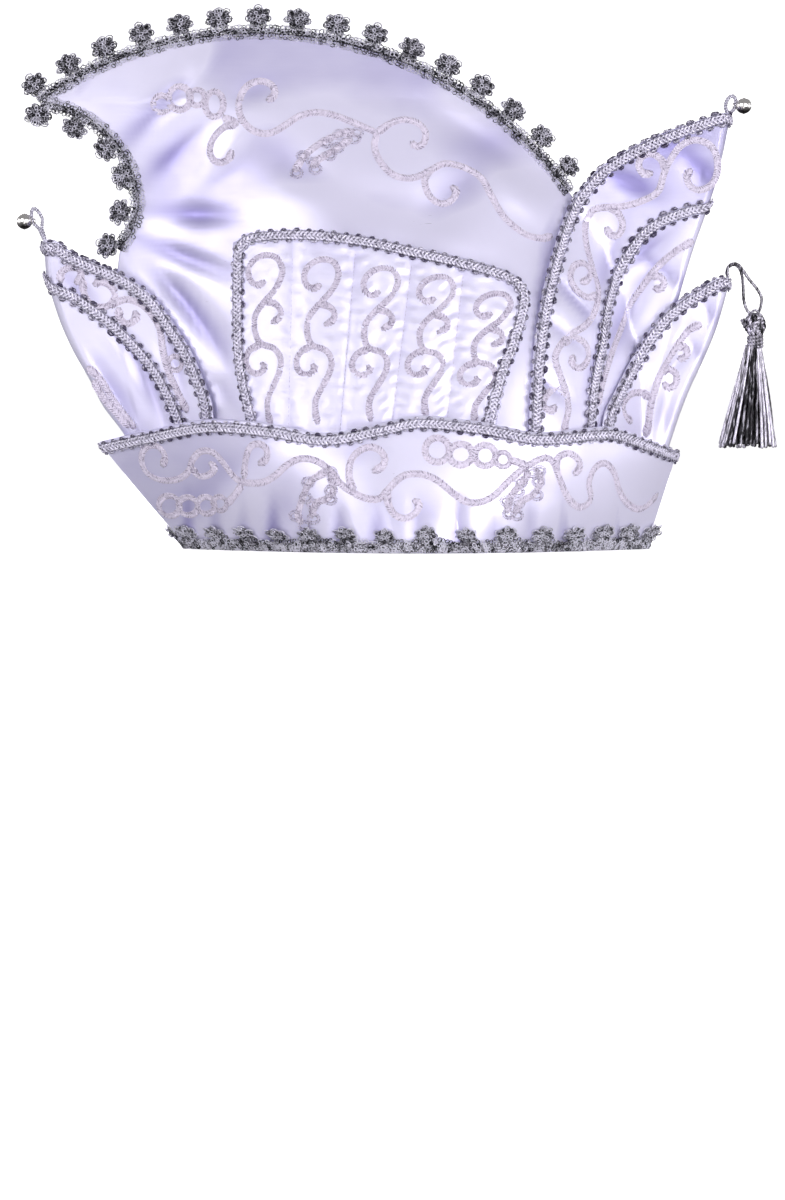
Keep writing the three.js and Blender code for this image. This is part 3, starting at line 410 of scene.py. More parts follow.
LOW_WING_SCROLLS = (
    ((141.8, 112.2), (136.2, 110.2), (131, 104.3), (125.7, 95.8), (121.2, 88), (118, 78.8), (116, 71),
     (115, 61.8), (113.4, 56.5)),
    ((129, 101), (133, 101), (134.5, 97.8), (132.3, 95.2), (129.7, 95.8)),
    ((121.8, 88), (125, 90), (129, 87.3), (128.3, 82), (124.8, 80.8), (122.5, 83.4)),
    ((116, 75), (112, 78.2), (106, 77.5), (102.2, 72.3), (103.5, 66.4), (106.8, 63.8)),
)
FRONT_INNER_BRAID = (
    (-116.8, 59), (-121.5, 71), (-130, 87.5), (-141.5, 101.5), (-154, 113), (-170, 124.5), (-181, 130.5),
)
TALL_INNER_BRAID = (
    (84.6, 59), (87.3, 82.5), (91.3, 101), (93.8, 118), (98.8, 135), (108.3, 152), (119, 162),
    (131.8, 167.5), (141, 170),
)
PANEL_BRAID = (
    (-80, 58), (-86.3, 84), (-88.3, 100), (-88.8, 118), (-88.8, 140), (-88.2, 148), (-85.5, 152.8),
    (-78, 155.2), (-56, 156), (-30, 153.3), (-8, 148.8), (32, 139.2), (46, 134.2), (52, 128), (51.3, 118),
    (46.3, 101), (40.5, 86), (32.8, 57),
)
BELL_LOOPS = Table(
    "foot_y foot_z tall wide lean",
    (-186.3, 154.9, 16, 4.6, 20),
    (155.2, 217.9, 8.4, 4.8, -14),
)
TASSEL_Y, HEAD_HOLE_Z, NECK_TOP_Z, NECK_FOOT_Z, TASSEL_FOOT_Z = 168.6, 117.6, 106, 100.5, 49
CORD_ROUTE = (
    (-0.8, 155, 135.8), (-0.85, 154.3, 138.4), (-0.85, 155.4, 140.9), (-0.8, 158, 142), (-0.7, 160.4, 140.6),
    (-0.5, 161.9, 137), (-0.3, 162.6, 131), (-0.1, 162.9, 124.4), (0, 164.4, HEAD_HOLE_Z + 2),
    (0, 166.3, HEAD_HOLE_Z + 0.2), (0, 168.6, HEAD_HOLE_Z - 0.3), (0, 170.2, HEAD_HOLE_Z + 0.6),
    (0, 171.4, 121.4), (0.2, 171.7, 125.6), (0.5, 169.4, 130), (0.7, 165.6, 134.6), (0.8, 162.6, 138.9),
    (0.85, 160, 142), (0.85, 157, 142.4), (0.85, 154.8, 140.2), (0.8, 155, 135.8),
)

# ---- cloth surfaces, half widths over the side plane

front_seam = FRONT_SEAM.curve("z", "y")
front_power, rear_power = (CROWN_SECTION.curve("z", name) for name in ("front_power", "rear_power"))


def crest_reach(z):
    return np.sqrt(np.maximum(CREST_RADIUS**2 - (z - CREST_CENTRE_Z) ** 2, 0))


def crown_front(z):
    return np.where(z > BEAK_TIP_Z, CREST_CENTRE_Y - crest_reach(z), front_seam(z))


def crown_rear(z):
    below = mix(RIM_HALF_LENGTH, CREST_CENTRE_Y + CREST_RADIUS, z / CREST_CENTRE_Z)
    return np.where(z > CREST_CENTRE_Z, CREST_CENTRE_Y + crest_reach(z), below)


def bulge(share, front, rear):
    """A level section's half width along its length, 1 in the middle."""
    share = np.clip(share, 0, 1)
    ahead = np.sin(math.pi * np.minimum(share, 0.5)) ** front
    return np.where(share < 0.5, ahead, 1 - np.abs(2 * share - 1) ** rear)


def wedge(y, z):
    """The crown's plain wedge, without its folds."""
    front = crown_front(z)
    share = (y - front) / np.maximum(crown_rear(z) - front, 1e-6)
    half = (RIM_HALF_WIDTH - SEAM_HALF) * (1 - z / CREST_TOP_Z)
    return half * bulge(share, front_power(z), rear_power(z)) + SEAM_HALF


def crown_side(y, z):
    half = wedge(y, z)
    soft = folds(CROWN_FOLDS, y, z) + 0.28 * ripple(y, z, 34, 4)
    return half - soft * ease((half - SEAM_HALF) / SEAM_FADE)


cuff_value = {name: CUFF_SECTION.curve("z", name) for name in CUFF_SECTION.columns[1:]}
cuff_edge = CUFF_EDGE.curve("y", "z")


def cuff_front(z, offset=WALL):
    return cuff_value["front"](z) - offset * CUFF_LEAN


def cuff_rear(z, offset=WALL):
    return cuff_value["rear"](z) + offset * CUFF_LEAN


def cuff_y(share, z, offset=WALL):
    return mix(cuff_front(z, offset), cuff_rear(z, offset), share)


def cuff_side(share, z, offset=WALL):
    """Half width of the cuff, `offset` outside its inner face."""
    nose = mix(cuff_value["front_nose"](z), cuff_value["rear_nose"](z), share)
    round_it = bulge(share, cuff_value["front_power"](z), cuff_value["rear_power"](z))
    return cuff_value["half"](z) * round_it + nose + offset


def cuff_height(share, part):
    """Height at a share of the cuff's length and a part of its own height."""
    return part * cuff_edge(cuff_y(share, part * CUFF_HEIGHT, 0))


def hem_place():
    """Shares of the cuff's length, and how far round a side of the hem each one lies."""
    shares = crowded_shares(300)
    z = HEM_LINE_Z + 0 * shares
    travelled = path_lengths(stacked(cuff_side(shares, z), cuff_y(shares, z)))
    return shares, travelled / travelled[-1]


HEM_SHARES, HEM_TRAVEL = hem_place()


def cuff_skin(y, z):
    """The cuff's outer face over the side plane."""
    front, rear = cuff_front(z), cuff_rear(z)
    share = np.clip((y - front) / (rear - front), 0, 1)
    dents = hem_puckers(y, z) + folds(CUFF_FOLDS, y, z)
    return cuff_side(share, z) - dents * ease(share * 9) * ease((1 - share) * 9)


def hem_puckers(y, z):
    """Dents that run up from each flower of the hem and narrow to a point."""
    share = (y - cuff_front(HEM_LINE_Z)) / (cuff_rear(HEM_LINE_Z) - cuff_front(HEM_LINE_Z))
    travelled = np.interp(share, HEM_SHARES, HEM_TRAVEL) * HEM_FLOWERS_A_SIDE
    place = travelled % 1 - 0.5
    uneven = 0.8 + 0.35 * np.sin(np.floor(travelled) * 2.4 + 1)
    height = np.maximum(z - HEM_LINE_Z, 0)
    narrow = ease(1 - np.abs(place) * (2.1 + height / 9))
    return 1.9 * uneven * narrow * np.exp(-((np.maximum(z - 11, 0) / (10 + 3 * uneven)) ** 2))


def rounded_max(a, b, round_it):
    return (a + b + np.sqrt((a - b) ** 2 + round_it**2)) / 2


def crown_under(y, z):
    inside = (y > crown_front(z)) & (y < crown_rear(z)) & (z < CREST_TOP_Z)
    return np.where(inside, wedge(y, z), 0)


class Wing:
    """A stiff cloth wing folded at its nose; both sides lie over what is under them."""

    POWER = 2.7  # how square the folded nose is

    def __init__(self, table, facing, under, fold_rows, nose_depth):
        self.nose, self.edge, self.nose_half = (table.curve("z", n) for n in ("nose", "edge", "nose_half"))
        self.low, self.high = table.column("z")[0], table.column("z")[-1]
        self.facing, self.under, self.fold_rows, self.nose_depth = facing, under, fold_rows, nose_depth

    def inner(self, y, z):
        return rounded_max(self.nose_half(z), self.under(y, z) + WING_CLEARANCE, WING_ROUNDING)

    def outer(self, y, z):
        behind = self.facing * (self.nose(z) - y)
        soft = folds(self.fold_rows, y, z) + 0.22 * ripple(y, z, 26, 9 + self.facing)
        return self.inner(y, z) + WALL - soft * ease(behind / SEAM_FADE)

    def level(self, points):
        """1 on the wing's outer face, more outside it."""
        x, y, z = points[..., 0], points[..., 1], points[..., 2]
        depth = np.clip(1 - self.facing * (self.nose(z) - y) / self.nose_depth, 0, None)
        return (np.abs(x) / self.outer(y, z)) ** self.POWER + depth**self.POWER

    def normals(self, points):
        steps = np.eye(3) * 0.3
        return unit(stacked(*(self.level(points + s) - self.level(points - s) for s in steps)))

    def nose_arc(self, z, turn):
        """Points round the nose: turn 1 where the side begins, 0 at the nose's middle."""
        angle = turn * math.pi / 2
        behind = self.nose_depth * (1 - np.cos(angle) ** (2 / self.POWER))
        y = self.nose(z) - self.facing * behind
        return stacked(self.outer(y, z) * np.sin(angle) ** (2 / self.POWER), y, z)


front_wing = Wing(FRONT_WING, -1, crown_under, FRONT_WING_FOLDS, 6.0)
tall_wing = Wing(TALL_WING, 1, crown_under, TALL_WING_FOLDS, 4.2)


def under_low_wing(y, z):
    past = ease((y - tall_wing.nose(z) + 2) / 10)
    return (tall_wing.inner(y, z) + WALL) * (1 - past)


low_wing = Wing(LOW_WING, 1, under_low_wing, LOW_WING_FOLDS, 4.5)

panel_front, panel_rear = PANEL_SIDES.curve("z", "front"), PANEL_SIDES.curve("z", "rear")
panel_top = PANEL_TOP.curve("y", "z")
PANEL_FOOT_Z = PANEL_SIDES.column("z")[0]
standoff = [PANEL_STANDOFF.curve("z", name) for name in PANEL_STANDOFF.columns[1:]]


def panel_inner(y, z):
    share = np.clip((y - panel_front(z)) / (panel_rear(z) - panel_front(z)), 0, 1)
    front, quarter, middle, rear = (curve(z) for curve in standoff)
    ahead = np.where(
        share < 0.25,
        mix(front, quarter, share / 0.25),
        mix(quarter, middle, (share - 0.25) / 0.25),
    )
    return wedge(y, z) + np.where(share < 0.5, ahead, mix(middle, rear, ease((share - 0.5) * 1.7)))


def panel_seam_lines(z):
    """Where the panel's edges and sewn channels run at a height, from the front edge back."""
    lines = [panel_front(z)]
    for top_y, top_z, foot_y, foot_z in PANEL_SEAMS.rows:
        lines.append(mix(foot_y, top_y, (z - foot_z) / (top_z - foot_z)))
    return lines + [panel_rear(z)]


def panel_puff(y, z):
    """How far the wadding lifts the cloth between the seams, and the small creases beside them."""
    lines = panel_seam_lines(z)
    near, lift = 1e3 + 0 * y, 0 * y
    for before, after in zip(lines, lines[1:]):
        place = (y - before) / (after - before)
        inside = (place >= 0) & (place <= 1)
        edge = np.minimum(y - before, after - y)
        lift = np.where(inside, 1 - (1 - np.clip(edge / 9, 0, 1)) ** 2.6, lift)
        near = np.where(inside, edge, near)
    creases = np.sin(z - y * 0.3 + 2.2 * np.sin(y * 0.21 + 1) + 1.3 * np.sin(z * 0.17 + y * 0.05))
    gate = ease(0.42 + 0.9 * np.sin(z * 0.33 + y * 0.42) * np.sin(y * 0.26 - z * 0.14 + 1))
    creases = creases * gate * np.exp(-(((near - 4) / 6.5) ** 2))
    broad = 0.5 * ripple(y, z, 24, 21) + 0.3 * ripple(y, z * 1.6, 9, 23)
    top = ease((panel_top(y) - z) / 9) * ease((z - PANEL_FOOT_Z) / 12)
    return (PANEL_PUFF * lift + 0.55 * creases + PANEL_PUFF * broad * lift) * top


def panel_side(y, z):
    return panel_inner(y, z) + PANEL_WALL - PANEL_PUFF + panel_puff(y, z)


# ---- lines that trim and stitches follow


def headings(at, closed=False):
    """The way a line runs at each of its points; a closed line's last point is its first."""
    along = np.gradient(at, axis=0)
    if closed:
        along[0] = along[-1] = at[1] - at[-2]
    return unit(along)


def squared(out, along):
    """The nearest directions to `out` that are square to a line."""
    return unit(out - along * (out * along).sum(1, keepdims=True))


class Run:
    """A line over the hat with the directions along it, across it and out of the cloth at each point."""

    def __init__(self, at, out, closed=False):
        self.at, self.travelled = at, path_lengths(at)
        self.length = self.travelled[-1]
        self.along = headings(at, closed)
        self.out = squared(out, self.along)
        self.across = np.cross(self.out, self.along)

    def frames(self, travelled):
        """Place, along, across and out at lengths travelled along the line."""
        travelled = np.clip(travelled, 0, self.length)
        rows = (self.at, self.along, self.across, self.out)
        at, *ways = (picked(travelled, self.travelled, row) for row in rows)
        return at, *(unit(way) for way in ways)

    def place(self, travelled, side=0.0, height=0.0):
        at, _, across, out = self.frames(travelled)
        return at + across * np.asarray(side)[..., None] + out * np.asarray(height)[..., None]

    def evenly(self, spacing):
        count = max(int(round(self.length / spacing)), 2)
        return (np.arange(count) + 0.5) * self.length / count


def over(surface, line, mirror=1, lift=0.0, spacing=1.0):
    """A run over a side of the hat along a line of the side plane."""
    line = np.asarray(line, float)
    travelled = path_lengths(line)
    at = np.linspace(0, travelled[-1], max(int(travelled[-1] / spacing), 6))
    y, z = picked(at, travelled, line).T
    step = 0.8
    slope_y = (surface(y + step, z) - surface(y - step, z)) / (2 * step)
    slope_z = (surface(y, z + step) - surface(y, z - step)) / (2 * step)
    out = unit(stacked(np.ones_like(y), -slope_y, -slope_z))
    points = stacked(surface(y, z), y, z) + out * lift
    flip = np.array([mirror, 1, 1])
    return Run(points * flip, out * flip)


def over_nose(wing, line, nose_z):
    """A run that climbs one side of a wing, crosses its nose and comes down the other side."""
    y, z = through(line).T
    side = wing.facing * (wing.nose(z) - y) > wing.nose_depth
    y, z = y[side], z[side]
    climb = stacked(wing.outer(y, z), y, z)
    turn = np.linspace(1, 0, 16)[1:]
    arc = wing.nose_arc(mix(z[-1], nose_z, ease(1 - turn)), turn)
    half = np.vstack([climb, arc])
    whole = np.vstack([half, half[-2::-1] * OTHER_SIDE])
    few = whole[::4] if len(whole) % 4 == 1 else np.vstack([whole[:-1:4], whole[-1:]])
    coarse = through(few, 8)
    out = wing.normals(coarse)
    out[:, 0] = np.where(coarse[:, 0] < 0, -np.abs(out[:, 0]), np.abs(out[:, 0]))
    for _ in range(6):
        out[1:-1] = unit(out[:-2] + out[1:-1] + out[2:])
    return Run(coarse + out * BRAID_LIFT, out)


def edge_line(wing, from_z, inset=2.6):
    """The line just inside a wing's free edge, from the cuff to the tip."""
    z = np.linspace(from_z, wing.high, 24)
    slope = (wing.edge(z + 1) - wing.edge(z - 1)) / 2
    length = np.hypot(1, slope)
    y = wing.edge(z) + wing.facing * inset / length
    return stacked(y, z - np.abs(slope) * inset / length)


def round_cuff(part=None, height=None, count=260, lift=0.0, wave=0.0):
    """A closed run round the cuff, at a part of its height or at a fixed height."""
    shares = crowded_shares(count)
    if height is None:
        z = cuff_height(shares, part)
    else:
        z = height + wave * np.sin(shares * 37) * np.sin(shares * 71 + 1)
    upper = z + 3
    y = cuff_y(shares, z)
    left = stacked(cuff_skin(y, z), y, z)
    climb = stacked(cuff_side(shares, upper), cuff_y(shares, upper), upper) - left
    loop, rise = (np.vstack([half, half[::-1] * OTHER_SIDE, half[:1]]) for half in (left, climb))
    out = unit(np.cross(headings(loop, closed=True), unit(rise)))
    return Run(loop + out * lift, out, closed=True)


# ---- meshes from points


def directions(centres, out, closed):
    """Along a line, out of it and across it at each of its points."""
    along = np.roll(centres, -1, 0) - np.roll(centres, 1, 0) if closed else np.gradient(centres, axis=0)
    along = unit(along)
    out = spread(out, *centres.shape)
    out = squared(out, along)
    return along, out, np.cross(out, along)


def grid_quads(height, width, around=False):
    """Faces of a sheet of points; around, its last column joins its first."""
    row, col = np.meshgrid(np.arange(height - 1), np.arange(width if around else width - 1), indexing="ij")
    low, high, after = row * width, (row + 1) * width, (col + 1) % width
    return stacked(low + col, low + after, high + after, high + col).reshape(-1, 4)


NO_TRIANGLES = np.zeros((0, 3), int)


def tube(centres, out, wide, high=None, sides=6, closed=False):
    """Points, quads and triangles of a cord; `out` is the way its flat side faces."""
    centres = np.asarray(centres, float)
    count = len(centres)
    along, out, across = directions(centres, out, closed)
    turn = full_turn(sides)
    wide = spread(wide, count)
    high = wide if high is None else spread(high, count)
    ring = (
        across[:, None] * (wide[:, None] * np.cos(turn))[..., None]
        + out[:, None] * (high[:, None] * np.sin(turn))[..., None]
    )
    points = (centres[:, None] + ring).reshape(-1, 3)
    quads = grid_quads(count + 1 if closed else count, sides, around=True) % (count * sides)
    if closed:
        return points, quads, NO_TRIANGLES
    poles = np.stack([centres[0] - along[0] * high[0] * 0.6, centres[-1] + along[-1] * high[-1] * 0.6])
    k, last = np.arange(sides), (count - 1) * sides
    start = stacked((k + 1) % sides, k, 0 * k + count * sides)
    end = stacked(last + k, last + (k + 1) % sides, 0 * k + count * sides + 1)
    return np.vstack([points, poles]), quads, np.vstack([start, end])


def loop_shape(radius_along, radius_across, thick, steps=9, sides=4, part=1.0):
    """A small thread ring, or a part of one, lying flat on the cloth: along, across, out."""
    whole = part >= 1
    start = 0 if whole else math.pi * (0.5 - part)
    angle = np.linspace(0, TURN * part, steps, endpoint=not whole) + start
    centres = stacked(radius_along * np.cos(angle), radius_across * np.sin(angle), 0 * angle)
    return tube(centres, (0, 0, 1), thick, None, sides, closed=whole)


def stitch_shape(long, wide, high):
    """One plump stitch, its ends tapered."""
    centres = stacked(np.linspace(-long / 2, long / 2, 3), np.zeros(3), np.zeros(3))
    swell = np.array([0.4, 1, 0.4])
    return tube(centres, (0, 0, 1), wide * swell, high * swell, 3)


def end_fans(height, width):
    """Triangles that close the first and the last ring of a round sheet of points."""
    k, last = np.arange(1, width - 1), (height - 1) * width
    return np.vstack([stacked(0 * k, k + 1, k), stacked(0 * k, k, k + 1) + last])


def joined(*shapes):
    """Several shapes as one."""
    points, quads, triangles, start = [], [], [], 0
    for p, q, t in shapes:
        points.append(p)
        quads.append(q + start)
        triangles.append(t + start)
        start += len(p)
    return np.vstack(points), np.vstack(quads), np.vstack(triangles)


def moved(shape, by, turn=0.0, lean=0.0):
    """A shape turned in its own plane, leaned about its along axis, then moved."""
    p = shape[0]
    cos, sin = cos_sin(lean)
    p = stacked(p[:, 0], p[:, 1] * cos - p[:, 2] * sin, p[:, 1] * sin + p[:, 2] * cos)
    cos, sin = cos_sin(turn)
    p = stacked(p[:, 0] * cos - p[:, 1] * sin, p[:, 0] * sin + p[:, 1] * cos, p[:, 2])
    return p + np.asarray(by, float), shape[1], shape[2]


class Piece:
    """Gathers the points and faces of one piece, in millimetres, then makes its mesh."""

    def __init__(self, name):
        self.name = name
        self.points, self.quads, self.triangles, self.shades, self.count = [], [], [], [], 0

    def take(self, shape, shade=0.0):
        points, quads, triangles = shape
        self.points.append(points)
        self.quads.append(quads + self.count)
        self.triangles.append(triangles + self.count)
        self.shades.append(spread(shade, len(points)))
        self.count += len(points)

    def grid(self, rows, around=False, flip=False, shade=0.0, capped=False):
        """A sheet of points; its faces look along (column step) x (row step)."""
        rows = np.asarray(rows, float)
        height, width = rows.shape[:2]
        quads = grid_quads(height, width, around)
        shade = spread(shade, height, width).ravel()
        ends = end_fans(height, width) if capped else NO_TRIANGLES
        self.take((rows.reshape(-1, 3), quads[:, ::-1] if flip else quads, ends), shade)

    def shell(self, outer, inner, around=False, roll=0.8, shade=0.0, inner_shade=0.0):
        """A cloth wall between two sheets of points, its edges rolled over."""
        outer, inner = np.asarray(outer, float), np.asarray(inner, float)
        height, width = outer.shape[:2]
        shade = spread(shade, height, width)
        self.grid(outer, around, shade=shade)
        self.grid(inner, around, flip=True, shade=inner_shade)
        if around:
            self.rim(inner[0], outer[0], outer[1], 0, shade[0])
            self.rim(outer[-1], inner[-1], outer[-2], roll, shade[-1])
            return
        row = [*[0] * (width - 1), *range(height - 1), *[height - 1] * (width - 1), *range(height - 1, 0, -1)]
        col = [*range(width - 1), *[width - 1] * (height - 1), *range(width - 1, 0, -1), *[0] * (height - 1)]
        row, col = np.array(row), np.array(col)
        inward = outer[np.clip(row, 1, height - 2), np.clip(col, 1, width - 2)]
        self.rim(inner[row, col], outer[row, col], inward, roll, shade[row, col])

    def rim(self, start, end, inward, roll, shade):
        """The rolled edge that joins two rows of a wall."""
        away = unit((start + end) / 2 - inward)
        thick = np.linalg.norm(end - start, axis=1, keepdims=True) / 2
        rows = [
            mix(start, end, (1 - math.cos(turn)) / 2) + away * thick * math.sin(turn) * roll
            for turn in np.linspace(0, math.pi, 5)
        ]
        self.grid(rows, around=True, shade=shade)

    def strew(self, shape, at, along, across, out, shade=0.0, scale=1.0):
        """A small shape repeated at many places."""
        points, quads, triangles = shape
        count, size = len(at), len(points)
        scale = spread(scale, count)[:, None, None]
        frame = np.stack([along, across, out], 1)
        placed = at[:, None] + np.einsum("pk,nkj->npj", points, frame) * scale
        start = (np.arange(count) * size)[:, None, None]
        shade = np.asarray(shade, float)
        if shade.shape == (size,) and size > 1:
            shade = np.tile(shade, count)
        else:
            shade = np.repeat(spread(shade, count), size)
        faces = (quads[None] + start).reshape(-1, 4), (triangles[None] + start).reshape(-1, 3)
        self.take((placed.reshape(-1, 3), *faces), shade)

    def build(self, finish, weld=False, replaces=()):
        """Makes the piece's object; welded, its points that meet to a micron become one."""
        points, shade = np.vstack(self.points), np.concatenate(self.shades)
        quads, triangles = np.vstack(self.quads), np.vstack(self.triangles)
        if weld:
            _, first, same = np.unique(np.round(points, 3), axis=0, return_index=True, return_inverse=True)
            points, shade, same = points[first], shade[first], same.reshape(-1)
            quads, triangles = same[quads], same[triangles]
            kept = quads != np.roll(quads, 1, 1)
            pinched = kept.sum(1) == 3
            triangles = np.vstack([triangles, quads[pinched][kept[pinched]].reshape(-1, 3)])
            quads = quads[kept.all(1)]
            triangles = triangles[(triangles != np.roll(triangles, 1, 1)).all(1)]
        mesh = bpy.data.meshes.new(self.name)
        mesh.vertices.add(len(points))
        placed = (points + np.array([0, RIM_CENTRE_Y, 0])) * MM
        mesh.vertices.foreach_set("co", placed.astype(np.float32).ravel())
        corners = np.concatenate([quads.ravel(), triangles.ravel()]).astype(np.int32)
        mesh.loops.add(len(corners))
        mesh.loops.foreach_set("vertex_index", corners)
        mesh.polygons.add(len(quads) + len(triangles))
        starts = np.concatenate([np.arange(len(quads)) * 4, quads.size + np.arange(len(triangles)) * 3])
        mesh.polygons.foreach_set("loop_start", starts.astype(np.int32))
        mesh.update(calc_edges=True)
        mesh.validate()
        mesh.polygons.foreach_set("use_smooth", np.ones(len(mesh.polygons), bool))
        mesh.attributes.new("shade", "FLOAT", "POINT").data.foreach_set("value", shade.astype(np.float32))
        piece = bpy.data.objects.new(self.name, mesh)
        bpy.context.scene.collection.objects.link(piece)
        return fitted(piece, finish, replaces)


def fitted(piece, finish, replaces=()):
    """Gives a finished piece its material and its place in the frame."""
    piece.data.materials.clear()
    piece.data.materials.append(finish)
    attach(piece, "root")
    if replaces:
        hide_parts(*replaces)
    return piece


# ---- finishes

WAVE_PER_METRE = 6283  # a sine wave a millimetre long, in radians a metre


def linear(red, green, blue):
    """A colour as a screen shows it, 0 to 255, as light."""
    part = [value / 255 for value in (red, green, blue)]
    return tuple(v / 12.92 if v <= 0.04045 else ((v + 0.055) / 1.055) ** 2.4 for v in part)


class Value:
    """A number that changes over a surface; arithmetic on it adds Math nodes."""

    def __init__(self, finish, socket):
        self.finish, self.socket = finish, socket

    def _with(self, operation, *numbers, clamp=False):
        inputs = {i: n.socket if isinstance(n, Value) else n for i, n in enumerate(numbers)}
        node = self.finish.node("ShaderNodeMath", {"operation": operation, "use_clamp": clamp}, inputs)
        return Value(self.finish, node.outputs[0])

    def __add__(self, other):
        return self._with("ADD", self, other)

    __radd__ = __add__

    def __sub__(self, other):
        return self._with("SUBTRACT", self, other)

    def __rsub__(self, other):
        return self._with("SUBTRACT", other, self)

    def __mul__(self, other):
        return self._with("MULTIPLY", self, other)

    __rmul__ = __mul__

    def clipped(self):
        return self._with("ADD", self, 0.0, clamp=True)

    def wave(self):
        return self._with("SINE", self)


class Finish:
    """A material built round one Principled shader."""

    def __init__(self, name, **constants):
        self.material = bpy.data.materials.new(name)
        self.material.use_nodes = True
        self.tree = self.material.node_tree
        self.tree.nodes.clear()
        self.shader = self.node("ShaderNodeBsdfPrincipled", {}, constants)
        self.node("ShaderNodeOutputMaterial", {}, {"Surface": self.shader.outputs[0]})
        self.place = self.node("ShaderNodeTexCoord").outputs["Object"]

    def node(self, kind, settings=None, inputs=None):
        node = self.tree.nodes.new(kind)
        for name, value in (settings or {}).items():
            setattr(node, name, value)
        for name, value in (inputs or {}).items():
            if isinstance(value, bpy.types.NodeSocket):
                self.tree.links.new(value, node.inputs[name])
            else:
                node.inputs[name].default_value = value
        return node

    def scaled(self, x, y, z):
        """Object coordinates in millimetres divided by these sizes."""
        scale = tuple(1 / (size * MM) for size in (x, y, z))
        node = self.node("ShaderNodeMapping", {}, {"Vector": self.place, "Scale": scale})
        return node.outputs[0]

    def noise(self, x, y, z, detail=2.0, roughness=0.55):
        inputs = {"Vector": self.scaled(x, y, z), "Scale": 1.0, "Detail": detail, "Roughness": roughness}
        return Value(self, self.node("ShaderNodeTexNoise", {}, inputs).outputs["Fac"])

    def axis(self, name):
        split = self.node("ShaderNodeSeparateXYZ", {}, {0: self.place})
        return Value(self, split.outputs[name])

    def attribute(self, name):
        node = self.node("ShaderNodeAttribute", {"attribute_name": name, "attribute_type": "GEOMETRY"})
        return Value(self, node.outputs["Fac"])

    def blend(self, first, second, factor):
        """A colour between two colours."""
        inputs = {0: factor.socket, 6: (*first, 1.0), 7: (*second, 1.0)}
        return self.node("ShaderNodeMix", {"data_type": "RGBA"}, inputs).outputs[2]

    def colour(self, socket):
        self.tree.links.new(socket, self.shader.inputs["Base Color"])

    def rough(self, value):
        self.tree.links.new(value.socket, self.shader.inputs["Roughness"])

    def bump(self, value, depth, strength=1.0):
        inputs = {"Height": value.socket, "Distance": depth * MM, "Strength": strength}
        node = self.node("ShaderNodeBump", {}, inputs)
        self.tree.links.new(node.outputs[0], self.shader.inputs["Normal"])


def satin(sizes, name, rough=0.31):
    """Smooth white-lilac satin: fine weave, soft slubs, random cloudy tone, and painted shade, a deeper lilac
    in the folds and wherever the shade attribute puts it.
    """
    sheen = {"Specular IOR Level": 0.6, "Sheen Weight": 0.15, "Sheen Roughness": 0.35}
    made = Finish(name, Metallic=0.35, **sheen)
    cloud, slub = made.noise(38, 38, 26), made.noise(9, 14, 1.1, 2)
    pitch = WAVE_PER_METRE / sizes.weave
    weave = (made.axis("Z") * pitch).wave() * (made.axis("Y") * pitch).wave()
    # the shade attribute paints shade and highlights into the colour; the cloud and slub noise add random
    # tone
    deep = (made.attribute("shade") * 0.95 + (cloud - 0.5) * 0.5 + (slub - 0.5) * 0.05).clipped()
    made.colour(made.blend(sizes.satin_light, sizes.satin_painted_shade, deep))
    made.rough(rough + (slub - 0.5) * 0.1 + (cloud - 0.5) * 0.08)
    made.bump(slub * 0.22 + weave * 0.16 + made.noise(4, 4, 4) * 0.25, 0.12, 0.5)
    return made.material


def metal_thread(sizes, name, light, dark, rough=0.4, metallic=0.35, mottle=1.2, streak=1):
    """Silver-wrapped thread: bright and dark flecks that stand in for glints and dark reflections among some
    random tone, and darker where the shade attribute paints shade and dark reflection.
    """
    made = Finish(name, Metallic=metallic, **{"Specular IOR Level": 0.6})
    fleck, wrap = made.noise(mottle, mottle, mottle * streak, 1), made.noise(0.22, 0.22, 0.22, 1)
    # painted shade, dark reflections and glints: the shade attribute and the flecks pick between the light
    # and dark colours
    deep = (made.attribute("shade") + (fleck - 0.52) * (2.4 * sizes.fleck) + (wrap - 0.5) * 0.4).clipped()
    made.colour(made.blend(light, dark, deep))
    made.rough(rough + (wrap - 0.5) * 0.25)
    made.bump(wrap, 0.12, 0.6)
    return made.material


def silk_thread(sizes):
    """Matt embroidery floss, beige-lilac, each stitch finely grooved along its length."""
    made = Finish("embroidery_floss", **{"Specular IOR Level": 0.4, "Sheen Weight": 0.4})
    groove, tone = made.noise(0.3, 0.3, 0.3, 2), made.noise(5, 5, 5, 2)
    fleck = made.noise(1.1, 1.1, 1.1, 1)
    # the shade attribute paints the shade of the gaps between stitches; the tone, groove and fleck noise add
    # random tone
    deep = made.attribute("shade") + (tone - 0.5) * 0.7 + (groove - 0.5) * 0.5 + (fleck - 0.5) * 1.1
    made.colour(made.blend(sizes.floss_light, sizes.floss_shade_and_tone, deep.clipped()))
    made.rough(0.5 + (groove - 0.5) * 0.2)
    made.bump(groove, 0.12, 0.5)
    return made.material


def nickel(centre_z, radius):
    """Polished nickel, darker under the ball's middle: painted shade and painted dark reflection."""
    made = Finish("nickel", Metallic=1.0)
    haze, scratch = made.noise(1.6, 1.6, 1.6, 3), made.noise(0.12, 0.9, 0.12, 2)
    # painted shade and dark reflection: the colour darkens below the ball's middle
    under = ((centre_z - made.axis("Z")) * (1.6 / radius) + (haze - 0.5) * 0.9).clipped()
    made.colour(made.blend(linear(248, 246, 240), linear(52, 50, 48), under))
    made.rough(0.1 + (scratch - 0.5) * 0.12 + haze * 0.06)
    made.bump(scratch, 0.02, 0.3)
    return made.material


